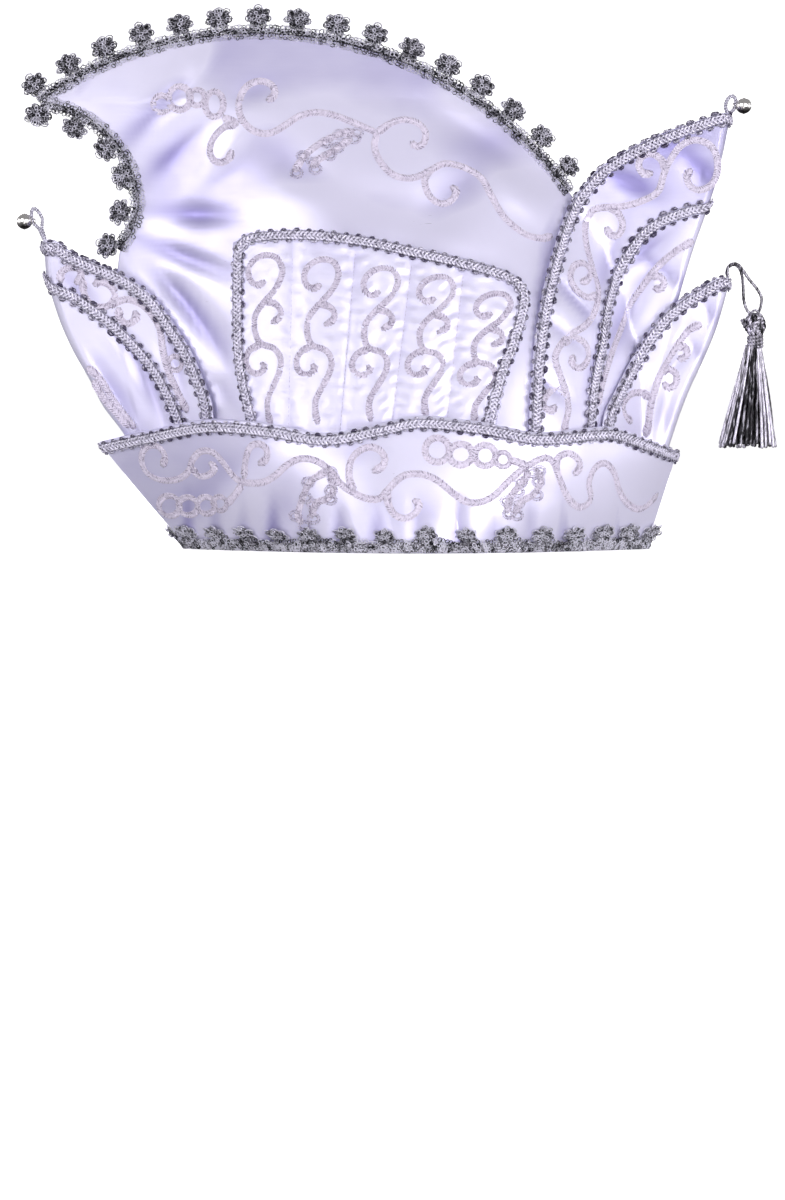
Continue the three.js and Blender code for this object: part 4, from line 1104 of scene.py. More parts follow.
def studio_white(name, glow):
    """The plain white of the floor and the backdrop, with a little light of its own."""
    made = Finish(name, **{"Emission Strength": glow, "Emission Color": (1, 1, 1, 1)})
    made.colour(made.blend((0.86, 0.86, 0.86), (0.8, 0.8, 0.81), made.noise(700, 700, 700)))
    made.rough(0.7 + (made.noise(300, 300, 300) - 0.5) * 0.1)
    return made.material


# ---- stage

STAGE_RADIUS = 14  # metres
LIGHT_COLOUR = (0.965, 0.95, 1)  # cool studio white


def deselect():
    bpy.ops.object.select_all(action="DESELECT")


def edit(on=True):
    """Starts editing the active mesh with all of it chosen, or stops."""
    bpy.ops.object.mode_set(mode="EDIT" if on else "OBJECT")
    if on:
        bpy.ops.mesh.select_all(action="SELECT")


def look_from(azimuth, elevation, distance, target):
    cos, sin = cos_sin(math.radians(azimuth))
    level, up = cos_sin(math.radians(elevation))
    back = Vector((sin * level, -cos * level, up))
    return Vector(target) + back * distance, (-back).to_track_quat("-Z", "Y")


def make_camera(stage):
    camera = bpy.data.objects.new("camera", bpy.data.cameras.new("camera"))
    bpy.context.scene.collection.objects.link(camera)
    target = (0, 0.0043, -0.0255)
    camera.rotation_mode = "QUATERNION"
    camera.location, camera.rotation_quaternion = look_from(90, stage.elevation, stage.distance, target)
    camera.data.lens = 36 * stage.distance / 0.6
    camera.data.clip_end = 50
    bpy.context.scene.camera = camera


def soft_light(name, azimuth, elevation, size, power, target=(0, 0, 0.12), distance=1.9):
    light = bpy.data.objects.new(name, bpy.data.lights.new(name, "AREA"))
    bpy.context.scene.collection.objects.link(light)
    light.data.shape = "RECTANGLE"
    light.data.size, light.data.size_y, light.data.energy = *size, power
    light.data.color = LIGHT_COLOUR
    light.rotation_mode = "QUATERNION"
    light.location, light.rotation_quaternion = look_from(azimuth, elevation, distance, target)


def make_backdrop():
    """A wide floor and a round backdrop, which only the camera sees: they cast no light on the hat."""
    deselect()
    bpy.ops.mesh.primitive_uv_sphere_add(segments=64, ring_count=32, radius=STAGE_RADIUS)
    dome = bpy.context.object
    dome.name = "backdrop"
    edit()
    bpy.ops.mesh.bisect(plane_co=(0, 0, -0.01), plane_no=(0, 0, 1), clear_inner=True)
    bpy.ops.mesh.select_all(action="SELECT")
    bpy.ops.mesh.flip_normals()
    edit(False)
    deselect()
    bpy.ops.mesh.primitive_circle_add(vertices=64, radius=STAGE_RADIUS, fill_type="TRIFAN")
    floor = bpy.context.object
    floor.name = "floor"
    for stage_piece, glow in ((dome, 1.2), (floor, 0.8)):  # the floor is a light table
        stage_piece.data.materials.append(studio_white(f"studio_{stage_piece.name}", glow))
        stage_piece.visible_diffuse = stage_piece.visible_glossy = False
        stage_piece.visible_shadow = False


SOFT_LIGHTS = (  # azimuth and elevation in degrees, size in metres and power in watts
    ("rear_softbox", 124, 8, (1.3, 1.0), 21.5),
    ("front_softbox", 48, 14, (0.8, 1.1), 10.7),
    ("table_light", 88, -24, (1.8, 0.8), 7.5),
    ("far_softbox", -80, 20, (1.8, 1.2), 22),
    ("nose_light", 2, 4, (1.4, 1.2), 6),
    ("tail_light", 178, 4, (1.4, 1.2), 6),
)


def make_stage(stage):
    make_camera(stage)
    make_backdrop()
    world = bpy.data.worlds.new("studio")
    world.use_nodes = True
    surroundings = world.node_tree.nodes["Background"].inputs
    surroundings["Color"].default_value = (*LIGHT_COLOUR, 1)
    surroundings["Strength"].default_value = stage.ambient
    bpy.context.scene.world = world
    for name, azimuth, elevation, size, power in SOFT_LIGHTS:
        soft_light(name, azimuth, elevation, size, power * stage.lights)
    bpy.context.scene.view_settings.view_transform = "Standard"


# ---- crown, cuff, wings and panels


def fold_shade(rows, y, z, gain=0.26):
    """How deep in a fold a place lies, as painted shade that deepens the satin's lilac; where a fold bulges
    out it gives a painted highlight.
    """
    return np.clip(folds(rows, y, z) * gain, -0.3, 1)


def soft_spot(y, z, centre, reach):
    """One at `centre` on the side plane, fading to nothing over `reach`."""
    return np.exp(-((y - centre[0]) / reach[0]) ** 2 - ((z - centre[1]) / reach[1]) ** 2)


INSIDE_PAINTED_SHADE = 0.3  # painted shade: the satin's tone on inner faces


def crown_levels():
    """Heights of the crown's rows: a few behind the cuff, then close together up to the crest."""
    hidden, seen = np.linspace(0, 52, 7), np.linspace(57, BEAK_TIP_Z, 70)
    tip_angle = math.acos((BEAK_TIP_Z + 2.1 - CREST_CENTRE_Z) / CREST_RADIUS)
    above = CREST_CENTRE_Z + CREST_RADIUS * np.cos(np.linspace(tip_angle, 0.012, 32))
    return np.concatenate([hidden, seen, above])[:, None]


def crown_painted_shading(y, z):
    """Painted shade and painted highlights over the crown's sides, apart from its folds: darker towards the
    top and the back, lighter in a few spots.
    """
    tone = ease((z - 150) / 80) * ease((y + 45) / 90) * 0.45
    tone = tone - 0.11 + 0.46 * ease((z - 219) / 19) * (0.15 + 0.85 * ease((y + 126) / 26))
    for amount, centre, reach in CROWN_PAINTED_SHADING:
        tone = tone + amount * soft_spot(y, z, centre, reach)
    return tone


def both_halves(half, y, z):
    """Level rows of the left side from front to back, and of the right side from back to front."""
    left = stacked(half, y, z)
    return left, (left * OTHER_SIDE)[:, ::-1]


def make_crown(sizes):
    levels = crown_levels()
    y = mix(crown_front(levels), crown_rear(levels), crowded_shares(78)[None])
    z = levels + 0 * y
    left, right = both_halves(crown_side(y, z), y, z)

    def seam(y_end, facing, order):
        """The sewn seam between the two halves: a low ridge with a groove along its middle."""
        rows = [(0.9 * order, 0.45), (0, 0.1), (-0.9 * order, 0.45)]
        lines = [stacked(0 * y_end + x, y_end + facing * out, levels[:, 0]) for x, out in rows]
        return np.stack(lines, 1)

    outer = np.concatenate([left, seam(y[:, -1], 1, 1), right, seam(y[:, 0], -1, -1)], 1)
    closing = outer[-1] * ON_SEAM + np.array([0, 0, 0.12])
    outer = np.concatenate([outer, closing[None]])
    levels_in = levels[:75:2]  # the inner face is coarser and ends below the crest
    y_in = mix(crown_front(levels_in), crown_rear(levels_in), crowded_shares(36)[None])
    z_in = levels_in + 0 * y_in
    half_in = np.maximum(crown_side(y_in, z_in) - WALL, 0.15)
    inner = np.concatenate(both_halves(half_in, y_in, z_in), 1)
    inner = np.concatenate([inner, (inner[-1] * ON_SEAM)[None]])
    y, z = outer[..., 1], outer[..., 2]
    piece = Piece("crown_satin")
    # painted shade and highlights of the folds, with the crown's broad painted shading
    piece.grid(outer, around=True, shade=fold_shade(CROWN_FOLDS, y, z) + crown_painted_shading(y, z))
    piece.grid(inner, around=True, flip=True, shade=INSIDE_PAINTED_SHADE)
    foot = inner[0]
    spread = np.linspace(0, 1, outer.shape[1])
    match = np.round(np.interp(spread, [0, 1], [0, len(foot) - 1])).astype(int)
    piece.grid([foot[match], outer[0]], around=True, shade=INSIDE_PAINTED_SHADE)
    finish = satin(sizes, "crown_satin")
    made = piece.build(finish, weld=True, replaces=("crown_left", "crown_right"))


def cuff_painted_shading(y, z):
    """Painted shade in the cuff's folds and puckers, deeper at the front, and painted light towards the back.
    """
    tone = fold_shade(CUFF_FOLDS, y, z, 0.25) + hem_puckers(y, z) * 0.33
    tone = tone + 0.26 * ease((-96 - y + z * 0.25) / 22) * ease((z - 8) / 20)
    return tone - 0.22 * ease((y - 35) / 40) * ease((32 - z) / 18) - 0.25 * ease((y - 65) / 45)


def make_cuff(sizes):
    part = np.linspace(0, 1, 26)[:, None]
    share = crowded_shares(124)[None]
    z = cuff_height(share, part) + 3.0 * (1 - part)

    def side(offset):
        y = cuff_y(share, z, offset)
        half = cuff_skin(y, z) if offset else cuff_side(share, z, 0)
        return np.concatenate(both_halves(half, y, z), 1)

    outer, inner = side(WALL), side(0)
    piece = Piece("cuff_satin")
    # painted shade: the inner face a little darker
    piece.shell(outer, inner, around=True, shade=cuff_painted_shading(outer[..., 1], outer[..., 2]), inner_shade=0.25)
    made = piece.build(satin(sizes, "cuff_satin"), weld=True, replaces=("cuff",))


def wing_grid(wing, offset, levels, columns):
    """Level rows from one free edge round the nose to the other."""
    z = levels[:, None]
    nose = wing.nose(z) - wing.facing * (WALL - offset)
    reach = np.abs(wing.edge(z) - nose)
    share = np.linspace(0, 1, columns)[None] ** 1.7
    behind = np.minimum(reach * share, reach)
    y = nose - wing.facing * behind
    inward = np.clip(1 - behind / np.minimum(wing.nose_depth, reach * 0.8), 0, 1)
    corner = (1 - inward**wing.POWER) ** (1 / wing.POWER)
    if offset:
        full = wing.outer(y, z)
        seam = 0.7 * np.exp(-((full * corner / 1.2) ** 2)) * inward
    else:  # the inner face takes half of each fold
        full = wing.inner(y, z) - 0.5 * (wing.inner(y, z) + WALL - wing.outer(y, z))
        seam = 0
    side = stacked(full * corner, y - wing.facing * seam, z + 0 * y)
    other = side * OTHER_SIDE
    if wing.facing < 0:
        return np.concatenate([other[:, :0:-1], side], 1)
    return np.concatenate([side[:, :0:-1], other], 1)


def make_wing(sizes, name, wing, node, rows=58):
    levels = mix(wing.low, wing.high, 1 - (1 - np.linspace(0, 1, rows)) ** 1.15)
    outer, inner = (wing_grid(wing, offset, levels, 46) for offset in (WALL, 0))
    y, z = outer[..., 1], outer[..., 2]
    # painted shade in the folds, and over the upper back of the rear wings
    shade = fold_shade(wing.fold_rows, y, z, 0.34) + 0.5 * ease((z - 147) / 40) * ease((y - 60) / 60)
    piece = Piece(name)
    piece.shell(outer, inner, shade=shade, inner_shade=INSIDE_PAINTED_SHADE)
    made = piece.build(satin(sizes, name, 0.37), weld=True, replaces=(node,))


PANEL_UPPER_Z = 150  # a level near the panel's top edge


def make_panel(sizes, name, mirror, node):
    share = np.linspace(0, 1, 128)[None]
    rise = np.linspace(0, 1, 84)[:, None]
    top = panel_top(mix(panel_front(PANEL_UPPER_Z), panel_rear(PANEL_UPPER_Z), share))
    z = mix(PANEL_FOOT_Z, top, rise)
    y = mix(panel_front(z), panel_rear(z), share)
    inner = stacked(mirror * panel_inner(y, z), y, z)
    outer = stacked(mirror * panel_side(y, z), y, z)
    if mirror < 0:
        inner, outer = inner[:, ::-1], outer[:, ::-1]
    # painted shade in the seams' valleys and creases, painted highlights on the puffed channels
    shade = np.clip((0.75 - panel_puff(outer[..., 1], outer[..., 2])) * 0.28, -0.2, 0.5)
    piece = Piece(name)
    piece.shell(outer, inner, roll=0.5, shade=shade, inner_shade=INSIDE_PAINTED_SHADE)
    made = piece.build(satin(sizes, name, 0.44), weld=True, replaces=(node,))


def make_seam_stitches(sizes, name, mirror):
    """The machine stitches along the seams between the panel's channels."""
    piece = Piece(name)
    shape = stitch_shape(1.5, 0.16, 0.13)
    for top_y, top_z, foot_y, foot_z in PANEL_SEAMS.rows:
        run = over(panel_side, through([(foot_y, foot_z), (top_y, top_z)]), mirror, lift=0.12)
        piece.strew(shape, *run.frames(run.evenly(2.1)), 0.5)
    piece.build(silk_thread(sizes))


# ---- braid


def plait(piece, run, sizes, closed=False, seed=1, pinch=0.0):
    """A three-strand silver plait on a thin tape, with an oval thread loop at each turn of both edges; the
    loops are painted dark as shade and dark reflection, the tape half dark as the shade under the strands.
    """
    draw = np.random.default_rng(seed)
    repeats = max(int(round(run.length / sizes.braid_repeat)), 2)
    period = run.length / repeats

    def wide(s):
        """Half the braid's width as a part of its usual 3.5 mm, less round a wing's tip."""
        away_from_tip = ease((np.abs(s - run.length / 2) - 2) / 9)
        return sizes.braid_width / USUAL_BRAID * (1 - pinch * (1 - away_from_tip))

    def steps_of(per_repeat):
        steps = np.linspace(0, run.length, repeats * per_repeat + 1)
        return steps[:-1] if closed else steps

    steps = steps_of(3)
    tape = run.place(steps, 0 * steps, 0 * steps + 0.3)
    # the tape is painted half dark, as the shade under the strands
    piece.take(tube(tape, run.frames(steps)[3], 2.2 * wide(steps), 0.3, 4, closed), 0.5)
    steps = steps_of(9)
    out = run.frames(steps)[3]
    for strand in range(3):
        turn = TURN * (steps / period + strand / 3)
        centre = run.place(steps, 1.75 * wide(steps) * np.sin(turn), 0.95 + 0.36 * np.sin(2 * turn))
        fleck = np.repeat(0.5 * (draw.random(len(steps)) < 0.24), 4)
        shape = tube(centre, out, 0.68 * wide(steps), 0.42, 4, closed)
        piece.take(shape, np.concatenate([fleck, np.zeros(len(shape[0]) - len(fleck))]))
    bow = np.array([[-1.5, -0.35, 0], [-0.6, 0.1, 0], [0.6, 0.1, 0], [1.5, -0.35, 0]])
    plump = np.array([0.4, 1, 1, 0.4])
    picot = tube(bow, (0, 0, 1), 0.78 * plump, 0.55 * plump, 4)
    light = loop_shape(1.1, 0.8, 0.4, 5, 3, part=0.6)
    loops = (  # shape, lateness as a part of a repeat, reach, tone (painted shade and dark reflection) and size
        (picot, 0, 2.95 + pinch, 1.0, 1 + pinch / 3),
        (light, 0.5, 2.0, 0.4, 0.95),
    )
    for sign, shift in ((1, 0.25), (-1, 0.75)):
        at = (np.arange(repeats) + shift) * period
        for shape, late, reach, tone, size in loops:
            spot = at + late * period + draw.normal(0, 0.3, repeats)
            place = run.place(spot, sign * reach * wide(spot), 0 * at + 0.6)
            _, along, across, face = run.frames(spot)
            fade = (0.45 - 0.4 * pinch) * ease(0.55 + 0.9 * np.sin(spot * 0.052 + seed * 1.7 + sign))
            shade = tone * (1 - fade) + draw.normal(0, 0.14, repeats)
            width = 0.4 * sizes.braid_width / USUAL_BRAID + 0.6 * wide(spot)
            grown = draw.uniform(0.8, 1.14, repeats) * size * width
            piece.strew(shape, place, along * sign, across * sign, face, shade, grown)


def braid_finish(sizes):
    return metal_thread(sizes, "silver_braid", sizes.braid_light, sizes.braid_shade_and_reflection)


WING_BRAIDS = (  # node, wing, line, and the height where it crosses the nose
    ("front_wing_edge_braid", front_wing, edge_line(front_wing, 60), 150.2),
    ("front_wing_inner_braid", front_wing, FRONT_INNER_BRAID, 137),
    ("tall_wing_edge_braid", tall_wing, edge_line(tall_wing, 57), 213),
    ("tall_wing_inner_braid", tall_wing, TALL_INNER_BRAID, 173),
    ("low_wing_edge_braid", low_wing, edge_line(low_wing, 56), 131),
)


def make_braids(sizes):
    finish = braid_finish(sizes)
    for seed, (node, wing, line, nose_z) in enumerate(WING_BRAIDS):
        piece = Piece(node.replace("_braid", "_plait"))
        plait(piece, over_nose(wing, line, nose_z), sizes, seed=seed, pinch=0.4)
        piece.build(finish, replaces=(node,))
    for side, mirror in SIDES:
        piece = Piece(f"side_panel_plait_{side}")
        plait(piece, over(panel_side, through(PANEL_BRAID), mirror, lift=0.2), sizes, seed=20)
        piece.build(finish, replaces=(f"side_panel_braid_{side}",))
    piece = Piece("cuff_plait")
    plait(piece, round_cuff(part=0.945, lift=BRAID_LIFT), sizes, closed=True, seed=31)
    piece.build(finish, replaces=("cuff_braid",))


# ---- flower lace


HEART_SIDES = 14
HEART_PROFILE = ((0.02, -0.4), (0.7, -0.4), (1, 0), (0.7, 0.45), (0.02, 0.6))  # reach and height


def flower_shape(seed, petals=7):
    """A crocheted flower: each petal a plump loop round a smaller one, over a heart painted dark as the shade
    between the loops; some loops are painted dark as shade and dark reflection.
    """
    draw = np.random.default_rng(seed)
    shapes, shades = [], []

    def loop(long, wide, thick, steps, at, turn, lean, tone):
        shape = moved(loop_shape(long, wide, thick, steps, 3), (0, 0, 0), 0, lean)
        shapes.append(moved(shape, at, turn))
        shades.append(tone + 0 * shape[0][:, 0])

    for k in range(petals):
        turn = TURN * (k + draw.uniform(-0.14, 0.14)) / petals + math.pi / 2
        reach = 3.5 + draw.uniform(-0.35, 0.35)
        at = (reach * math.cos(turn), reach * math.sin(turn), draw.uniform(-0.1, 0.5))
        size, tone = draw.uniform(0.92, 1.12), draw.choice([0.15, 0.45, 0.85])
        loop(1.6 * size, 1.45 * size, 0.34, 8, at, turn, draw.uniform(-0.5, 0.5), tone)
        raised = (at[0], at[1], at[2] + 0.3)
        loop(0.75 * size, 0.66 * size, 0.27, 6, raised, turn, 0, draw.choice([0.0, 0.6, 0.95]))
        turn += math.pi / petals
        at = (1.85 * math.cos(turn), 1.85 * math.sin(turn), 0.9)
        loop(0.85, 0.7, 0.29, 6, at, turn, draw.uniform(-0.6, 0.6), draw.choice([0.0, 0.4, 0.9]))
    loop(0.75, 0.75, 0.3, 8, (0, 0, 1.15), 0, 0, 0.1)
    # the heart: a dark disc, painted shade in the gaps between the loops
    around = full_turn(HEART_SIDES)
    lobes = 4.1 + 0.6 * np.cos(petals * (around - math.pi / 2))
    heart = stacked(np.cos(around) * lobes, np.sin(around) * lobes, 0 * around)
    size = len(HEART_PROFILE), HEART_SIDES
    rows = np.vstack([heart * reach + [0, 0, z] for reach, z in HEART_PROFILE])
    shapes.append((rows, grid_quads(*size, around=True), end_fans(*size)))
    shades.append(np.full(len(rows), 1.1))
    return joined(*shapes), np.concatenate(shades)


def lace_finish(sizes, name="silver_lace", metallic=0.5):
    return metal_thread(sizes, name, sizes.lace_light, sizes.lace_shade_and_reflection, 0.34, metallic, 1.1)


CREST_FROM, CREST_TO = -0.605, 0.945  # the crest lace's ends, as angles from the crest's top
HOLLOW_FLOWERS = (
    (-155.3, 152), (-149.3, 168.5), (-147.8, 186), (-156.3, 199.5), (-171.3, 209.5), (-189.8, 216),
)


def crest_lines():
    """The hollow under the beak from its foot up, and the crest from the beak back."""
    z = np.linspace(149, BEAK_TIP_Z - 0.3, 90)
    angle = np.linspace(CREST_FROM, CREST_TO, 200)
    crest = CREST_CENTRE_Y + CREST_RADIUS * np.sin(angle), CREST_CENTRE_Z + CREST_RADIUS * np.cos(angle)
    return stacked(crown_front(z), z), np.stack(crest, -1)


def clumps(s):
    """Uneven thick and thin places along a lace, between about -1 and 1."""
    return 0.6 * np.sin(s * 0.62) + 0.4 * np.sin(s * 1.31 + 2)


def loop_rows(piece, run, draw, rows, side=1, lift=0.0, clump=0.0):
    """Rows of crocheted loops along a run: offset, pitch, size, thread and share of dark loops, whose
    darkness is painted shade and dark reflection.
    """
    for offset, pitch, size, thread, dark in rows:
        s = run.evenly(pitch)
        s = s + draw.normal(0, pitch * 0.12, len(s))
        _, along, across, out = run.frames(s)
        sideways = offset + draw.normal(0, 0.22, len(s))
        place = run.place(s, sideways, draw.uniform(0, 0.4, len(s)) * side + lift)
        turn = draw.uniform(0, math.pi, len(s))[:, None]
        cos, sin = np.cos(turn), np.sin(turn)
        along, across = along * cos + across * sin, across * cos - along * sin
        # painted dark reflection and shade on some loops, a painted glint (below nought) on the rest, and in
        # patches when clumped
        tone = np.where(draw.random(len(s)) < dark, 1.0, -0.2) + draw.normal(0, 0.12, len(s))
        patch = np.sin(2.9 * s + 5 * offset + 2 * np.sin(0.7 * s)) + 0.6 * clumps(s)
        tone = tone + clump * np.where(patch > 0.35, 1.3, -0.25)
        ring = loop_shape(1.4, 1.0, thread * 1.15, 6, 3)
        grown = size * draw.uniform(0.8, 1.25, len(s))
        piece.strew(ring, place, along * side, across, out * side, tone, grown)


CREST_ROWS = ((0.3, 1.9, 0.8, 0.24, 0.45), (1.6, 1.8, 0.9, 0.26, 0.35), (3.0, 1.9, 0.95, 0.26, 0.3))
HEM_ROWS = (
    (-2.6, 1.7, 0.85, 0.32, 0.2), (-1.3, 1.8, 0.9, 0.34, 0.25), (-0.1, 1.9, 0.85, 0.3, 0.3),
    (1.1, 1.8, 0.9, 0.32, 0.35), (2.6, 1.8, 0.85, 0.3, 0.45),
)


def make_crest_lace(sizes):
    draw = np.random.default_rng(5)
    piece = Piece("crest_flower_lace")
    flowers = [flower_shape(seed) for seed in (1, 2, 3)]
    spots = []
    for line in crest_lines():
        at = np.concatenate([np.zeros((len(line), 1)), line], 1)
        run = Run(at, spread((1, 0, 0), *at.shape))
        spots.append(run)
        s = np.linspace(0.4, run.length - 0.4, int(run.length / 2))
        # a dark backing strip under the loops: painted shade in the gaps of the lace
        edge = 1.15 + draw.normal(0, 0.25, len(s))
        piece.take(tube(run.place(s, 0 * s + 1.5, 0 * s), (1, 0, 0), edge, 0.55, 4), 1.0)
        outward = run.frames(np.linspace(0, run.length, len(line)))[2][:, 1:]
        for side in (1, -1):
            loop_rows(piece, run, draw, CREST_ROWS, side, 0.75 * side)
            inner = over(crown_side, line - outward * 0.2, side, lift=0.35)
            s = np.linspace(0, inner.length, int(inner.length / 2.2))
            # a dark cord along the inner edge: a painted shadow line where the lace meets the satin
            piece.take(tube(inner.place(s), inner.frames(s)[3], 0.42, 0.3, 4), 1.0)
            inner = over(crown_side, line - outward * 1.5, side, lift=0.25)
            across = inner.frames(inner.length / 2 + np.zeros(1))[2][0, 1:]
            away = -1 if across @ outward[len(line) // 2] > 0 else 1
            rows = (-0.5 * away, 1.8, 0.85, 0.3, 0.5), (1.0 * away, 2.0, 0.8, 0.26, 0.4)
            loop_rows(piece, inner, draw, rows)
    hollow, crest = spots
    angles = np.linspace(-0.591, 0.893, CREST_FLOWERS)
    gaps = np.linalg.norm(hollow.at[:, None, 1:] - np.array(HOLLOW_FLOWERS)[None], axis=2)
    places = (  # a lace, how far along it each flower sits, and how far out
        (crest, (angles - CREST_FROM) / (CREST_TO - CREST_FROM) * crest.length, 8.1 + 0 * angles),
        (hollow, hollow.travelled[gaps.argmin(0)], gaps.min(0) - 0.5),
    )
    for run, s, reach in places:
        for side in (1, -1):
            for kind, (flower, tones) in enumerate(flowers):
                own = slice(kind, None, 3)
                place = run.place(s[own], reach[own], 0 * s[own]) + np.array([side * 0.75, 0, 0])
                _, along, across, out = run.frames(s[own])
                size = draw.uniform(1.04, 1.14) * (1 - 0.16 * ease((place[:, 1] - 40) / 50))
                piece.strew(flower, place, along * side * 1.25, across, out * side, tones, size)
    piece.build(lace_finish(sizes), replaces=("crest_lace",))


def make_hem_lace(sizes):
    draw = np.random.default_rng(8)
    piece = Piece("hem_flower_lace")
    run = round_cuff(height=3.6, lift=0.4, wave=0.5)
    s = np.linspace(0, run.length, 430)[:-1]
    wander = 0.5 * np.sin(s * 0.31) + 0.35 * np.sin(s * 0.83 + 1)
    edge = 1.9 + 0.5 * np.sin(s * 0.53 + 2) + draw.normal(0, 0.25, len(s))
    # a dark backing strip: painted shade in the gaps of the lace, deeper where it clumps
    backing = tube(run.place(s, wander - 0.2, 0 * s + 0.25), run.frames(s)[3], edge, 0.26, 4, closed=True)
    piece.take(backing, 1.0 + 0.6 * np.repeat(clumps(s), 4))
    repeats = int(run.length / 4.2)
    s = np.linspace(0, run.length, repeats * 6 + 1)[:-1]
    out = run.frames(s)[3]
    for line in range(3):
        phase = TURN * s / run.length
        wave = 0.8 * np.sin(phase * repeats + line * 2.1) + 0.6 * np.sin(phase * (77 + 13 * line) + line)
        centre = run.place(s, -1.6 + 1.6 * line + wave, 0.75 + 0.28 * np.cos(2 * phase * repeats))
        # stretches of the threads painted dark, as shade and dark reflection
        tone = np.repeat(np.where(draw.random(len(s) // 3) < 0.26, 0.9, -0.25), 3)
        piece.take(tube(centre, out, 0.32, 0.3, 3, closed=True), np.repeat(tone, 3))
    loop_rows(piece, run, draw, HEM_ROWS, lift=0.9, clump=0.75)
    at = run.evenly(1.1)
    _, along, across, face = run.frames(at)
    slant = draw.normal(0, 0.6, len(at))[:, None]
    down = across * np.cos(slant) + along * np.sin(slant)
    down = down * np.where(down[:, 2:] > 0, -1, 1)
    reach = 1.9 + draw.uniform(0, 1.7, len(at)) * (0.6 + 0.4 * np.sin(at * 0.33))
    place = run.place(at, 0 * at, 0 * at + 0.8) + down * reach[:, None]
    place[:, 2] = np.maximum(place[:, 2], 0.1 - 0.95 * down[:, 2])
    # some loose ends painted dark, as shade
    tone = np.where(draw.random(len(at)) < 0.3, 0.75, -0.1)
    piece.strew(stitch_shape(2.0, 0.3, 0.24), place, down, np.cross(face, down), face, tone)
    high = round_cuff(height=8.9, lift=0.9, wave=0.6)
    number = np.arange(2 * HEM_FLOWERS_A_SIDE)
    place, along, across, out = high.frames((number + 0.5) / HEM_FLOWERS_A_SIDE / 2 * high.length)
    for kind in range(3):
        flower, tones = flower_shape(11 + kind)
        own = slice(kind, None, 3)
        size = draw.uniform(0.9, 1.02, len(place[own]))
        wide = 1.2 / np.clip(np.abs(along[own, 1:2]), 0.64, 1)
        piece.strew(flower, place[own], along[own] * wide, across[own], out[own], tones * 0.9 - 0.12, size)
    for points in piece.points:
        low = np.minimum(points[:, 2], 0.7)
        points[:, 2] = np.where(points[:, 2] < 0.7, 0.05 + 0.65 * np.exp((low - 0.7) / 0.65), points[:, 2])
    piece.build(lace_finish(sizes, "hem_lace", 0.1), replaces=("hem_lace",))


# ---- embroidery


def stitched(piece, run, sizes, closed=False, seed=3, size=1.0, dense=False):
    """Two rows of short slanted stitches that lean together over a thin bed of floss; dense rows meet."""
    draw = np.random.default_rng(seed)

    def swell(s):
        """The scroll is a little wider just before its ends and closes round them."""
        if closed:
            return 1.0 + 0 * s
        end = np.minimum(s, run.length - s)
        return 1 + 0.25 * np.exp(-(((end - 3.2) / 2.6) ** 2)) - 0.5 * (1 - ease(end / 2))

    gap, lean, long = (0.8, 62, 1.8) if dense else (size, 52, 1.9 * size)
    # the bed and the stitches take some painted shade, as the gaps between stitches would, and about a third
    # of the stitches, picked at random, take more
    bed_tone, stitch_tone = (0.34, 0.32) if dense else (0.16, 0.2)
    if size > 0.7:
        bed = np.linspace(0, run.length, max(int(run.length / 2.2), 7) + 1)
        bed = bed[:-1] if closed else bed
        wide = (gap + 0.75) * swell(bed)
        piece.take(tube(run.place(bed), run.frames(bed)[3], wide, 0.06, 4, closed), bed_tone)
    spacing = sizes.stitch * size
    count = max(int(run.length / spacing), 5)
    at = (np.arange(count) + 0.5) * run.length / count
    _, along, across, out = run.frames(at)
    shape = stitch_shape(long, 0.32, 0.17)
    for row, sign in enumerate((-1, 1)):
        place = run.place(at + row * spacing / 2, sign * gap * swell(at), 0 * at + 0.12)
        slant = np.radians(-sign * lean + draw.normal(0, 10, count))[:, None]
        turned = along * np.cos(slant) + across * np.sin(slant)
        tone = stitch_tone + 0.6 * (draw.random(count) < 0.36) + draw.normal(0, 0.18, count)
        grown = swell(at) * draw.uniform(0.85, 1.12, count)
        piece.strew(shape, place, turned, np.cross(out, turned), out, tone, grown)


def sprig_leaves(line):
    """Small stitched leaves along both sides of a sprig's stem."""
    stem = through(line)
    picks = np.linspace(0, len(stem) - 1, 5).astype(int)
    return [(stem[i, 0] + 1.3 * (-1) ** n, stem[i, 1] - 0.6, 2.7, 2.1, 18) for n, i in enumerate(picks)]


def embroider(sizes, name, surface, lines, rings=(), sides=(1, -1), dense=False):
    piece = Piece(name)
    for mirror in sides:
        for number, line in enumerate(lines):
            stitched(piece, over(surface, through(line), mirror, lift=0.1), sizes, seed=number, dense=dense)
        for number, ring in enumerate(rings):
            size = min(1, ring[2] / 5)
            round_it = over(surface, ellipse(*ring), mirror, lift=0.1, spacing=0.7)
            stitched(piece, round_it, sizes, True, number + 40, size)
    made = piece.build(silk_thread(sizes))
    made.data.set_sharp_from_angle(angle=math.radians(150))


def panel_lines():
    """The scroll of each channel, drawn between the channel's middle at its top and at its foot."""
    lines = []
    for top_y, top_z, foot_y, foot_z in PANEL_CHANNELS.rows:
        for part in PANEL_SCROLL:
            across, share = np.array(part).T
            lines.append(stacked(mix(foot_y, top_y, share) + across, mix(foot_z, top_z, share)))
    return lines


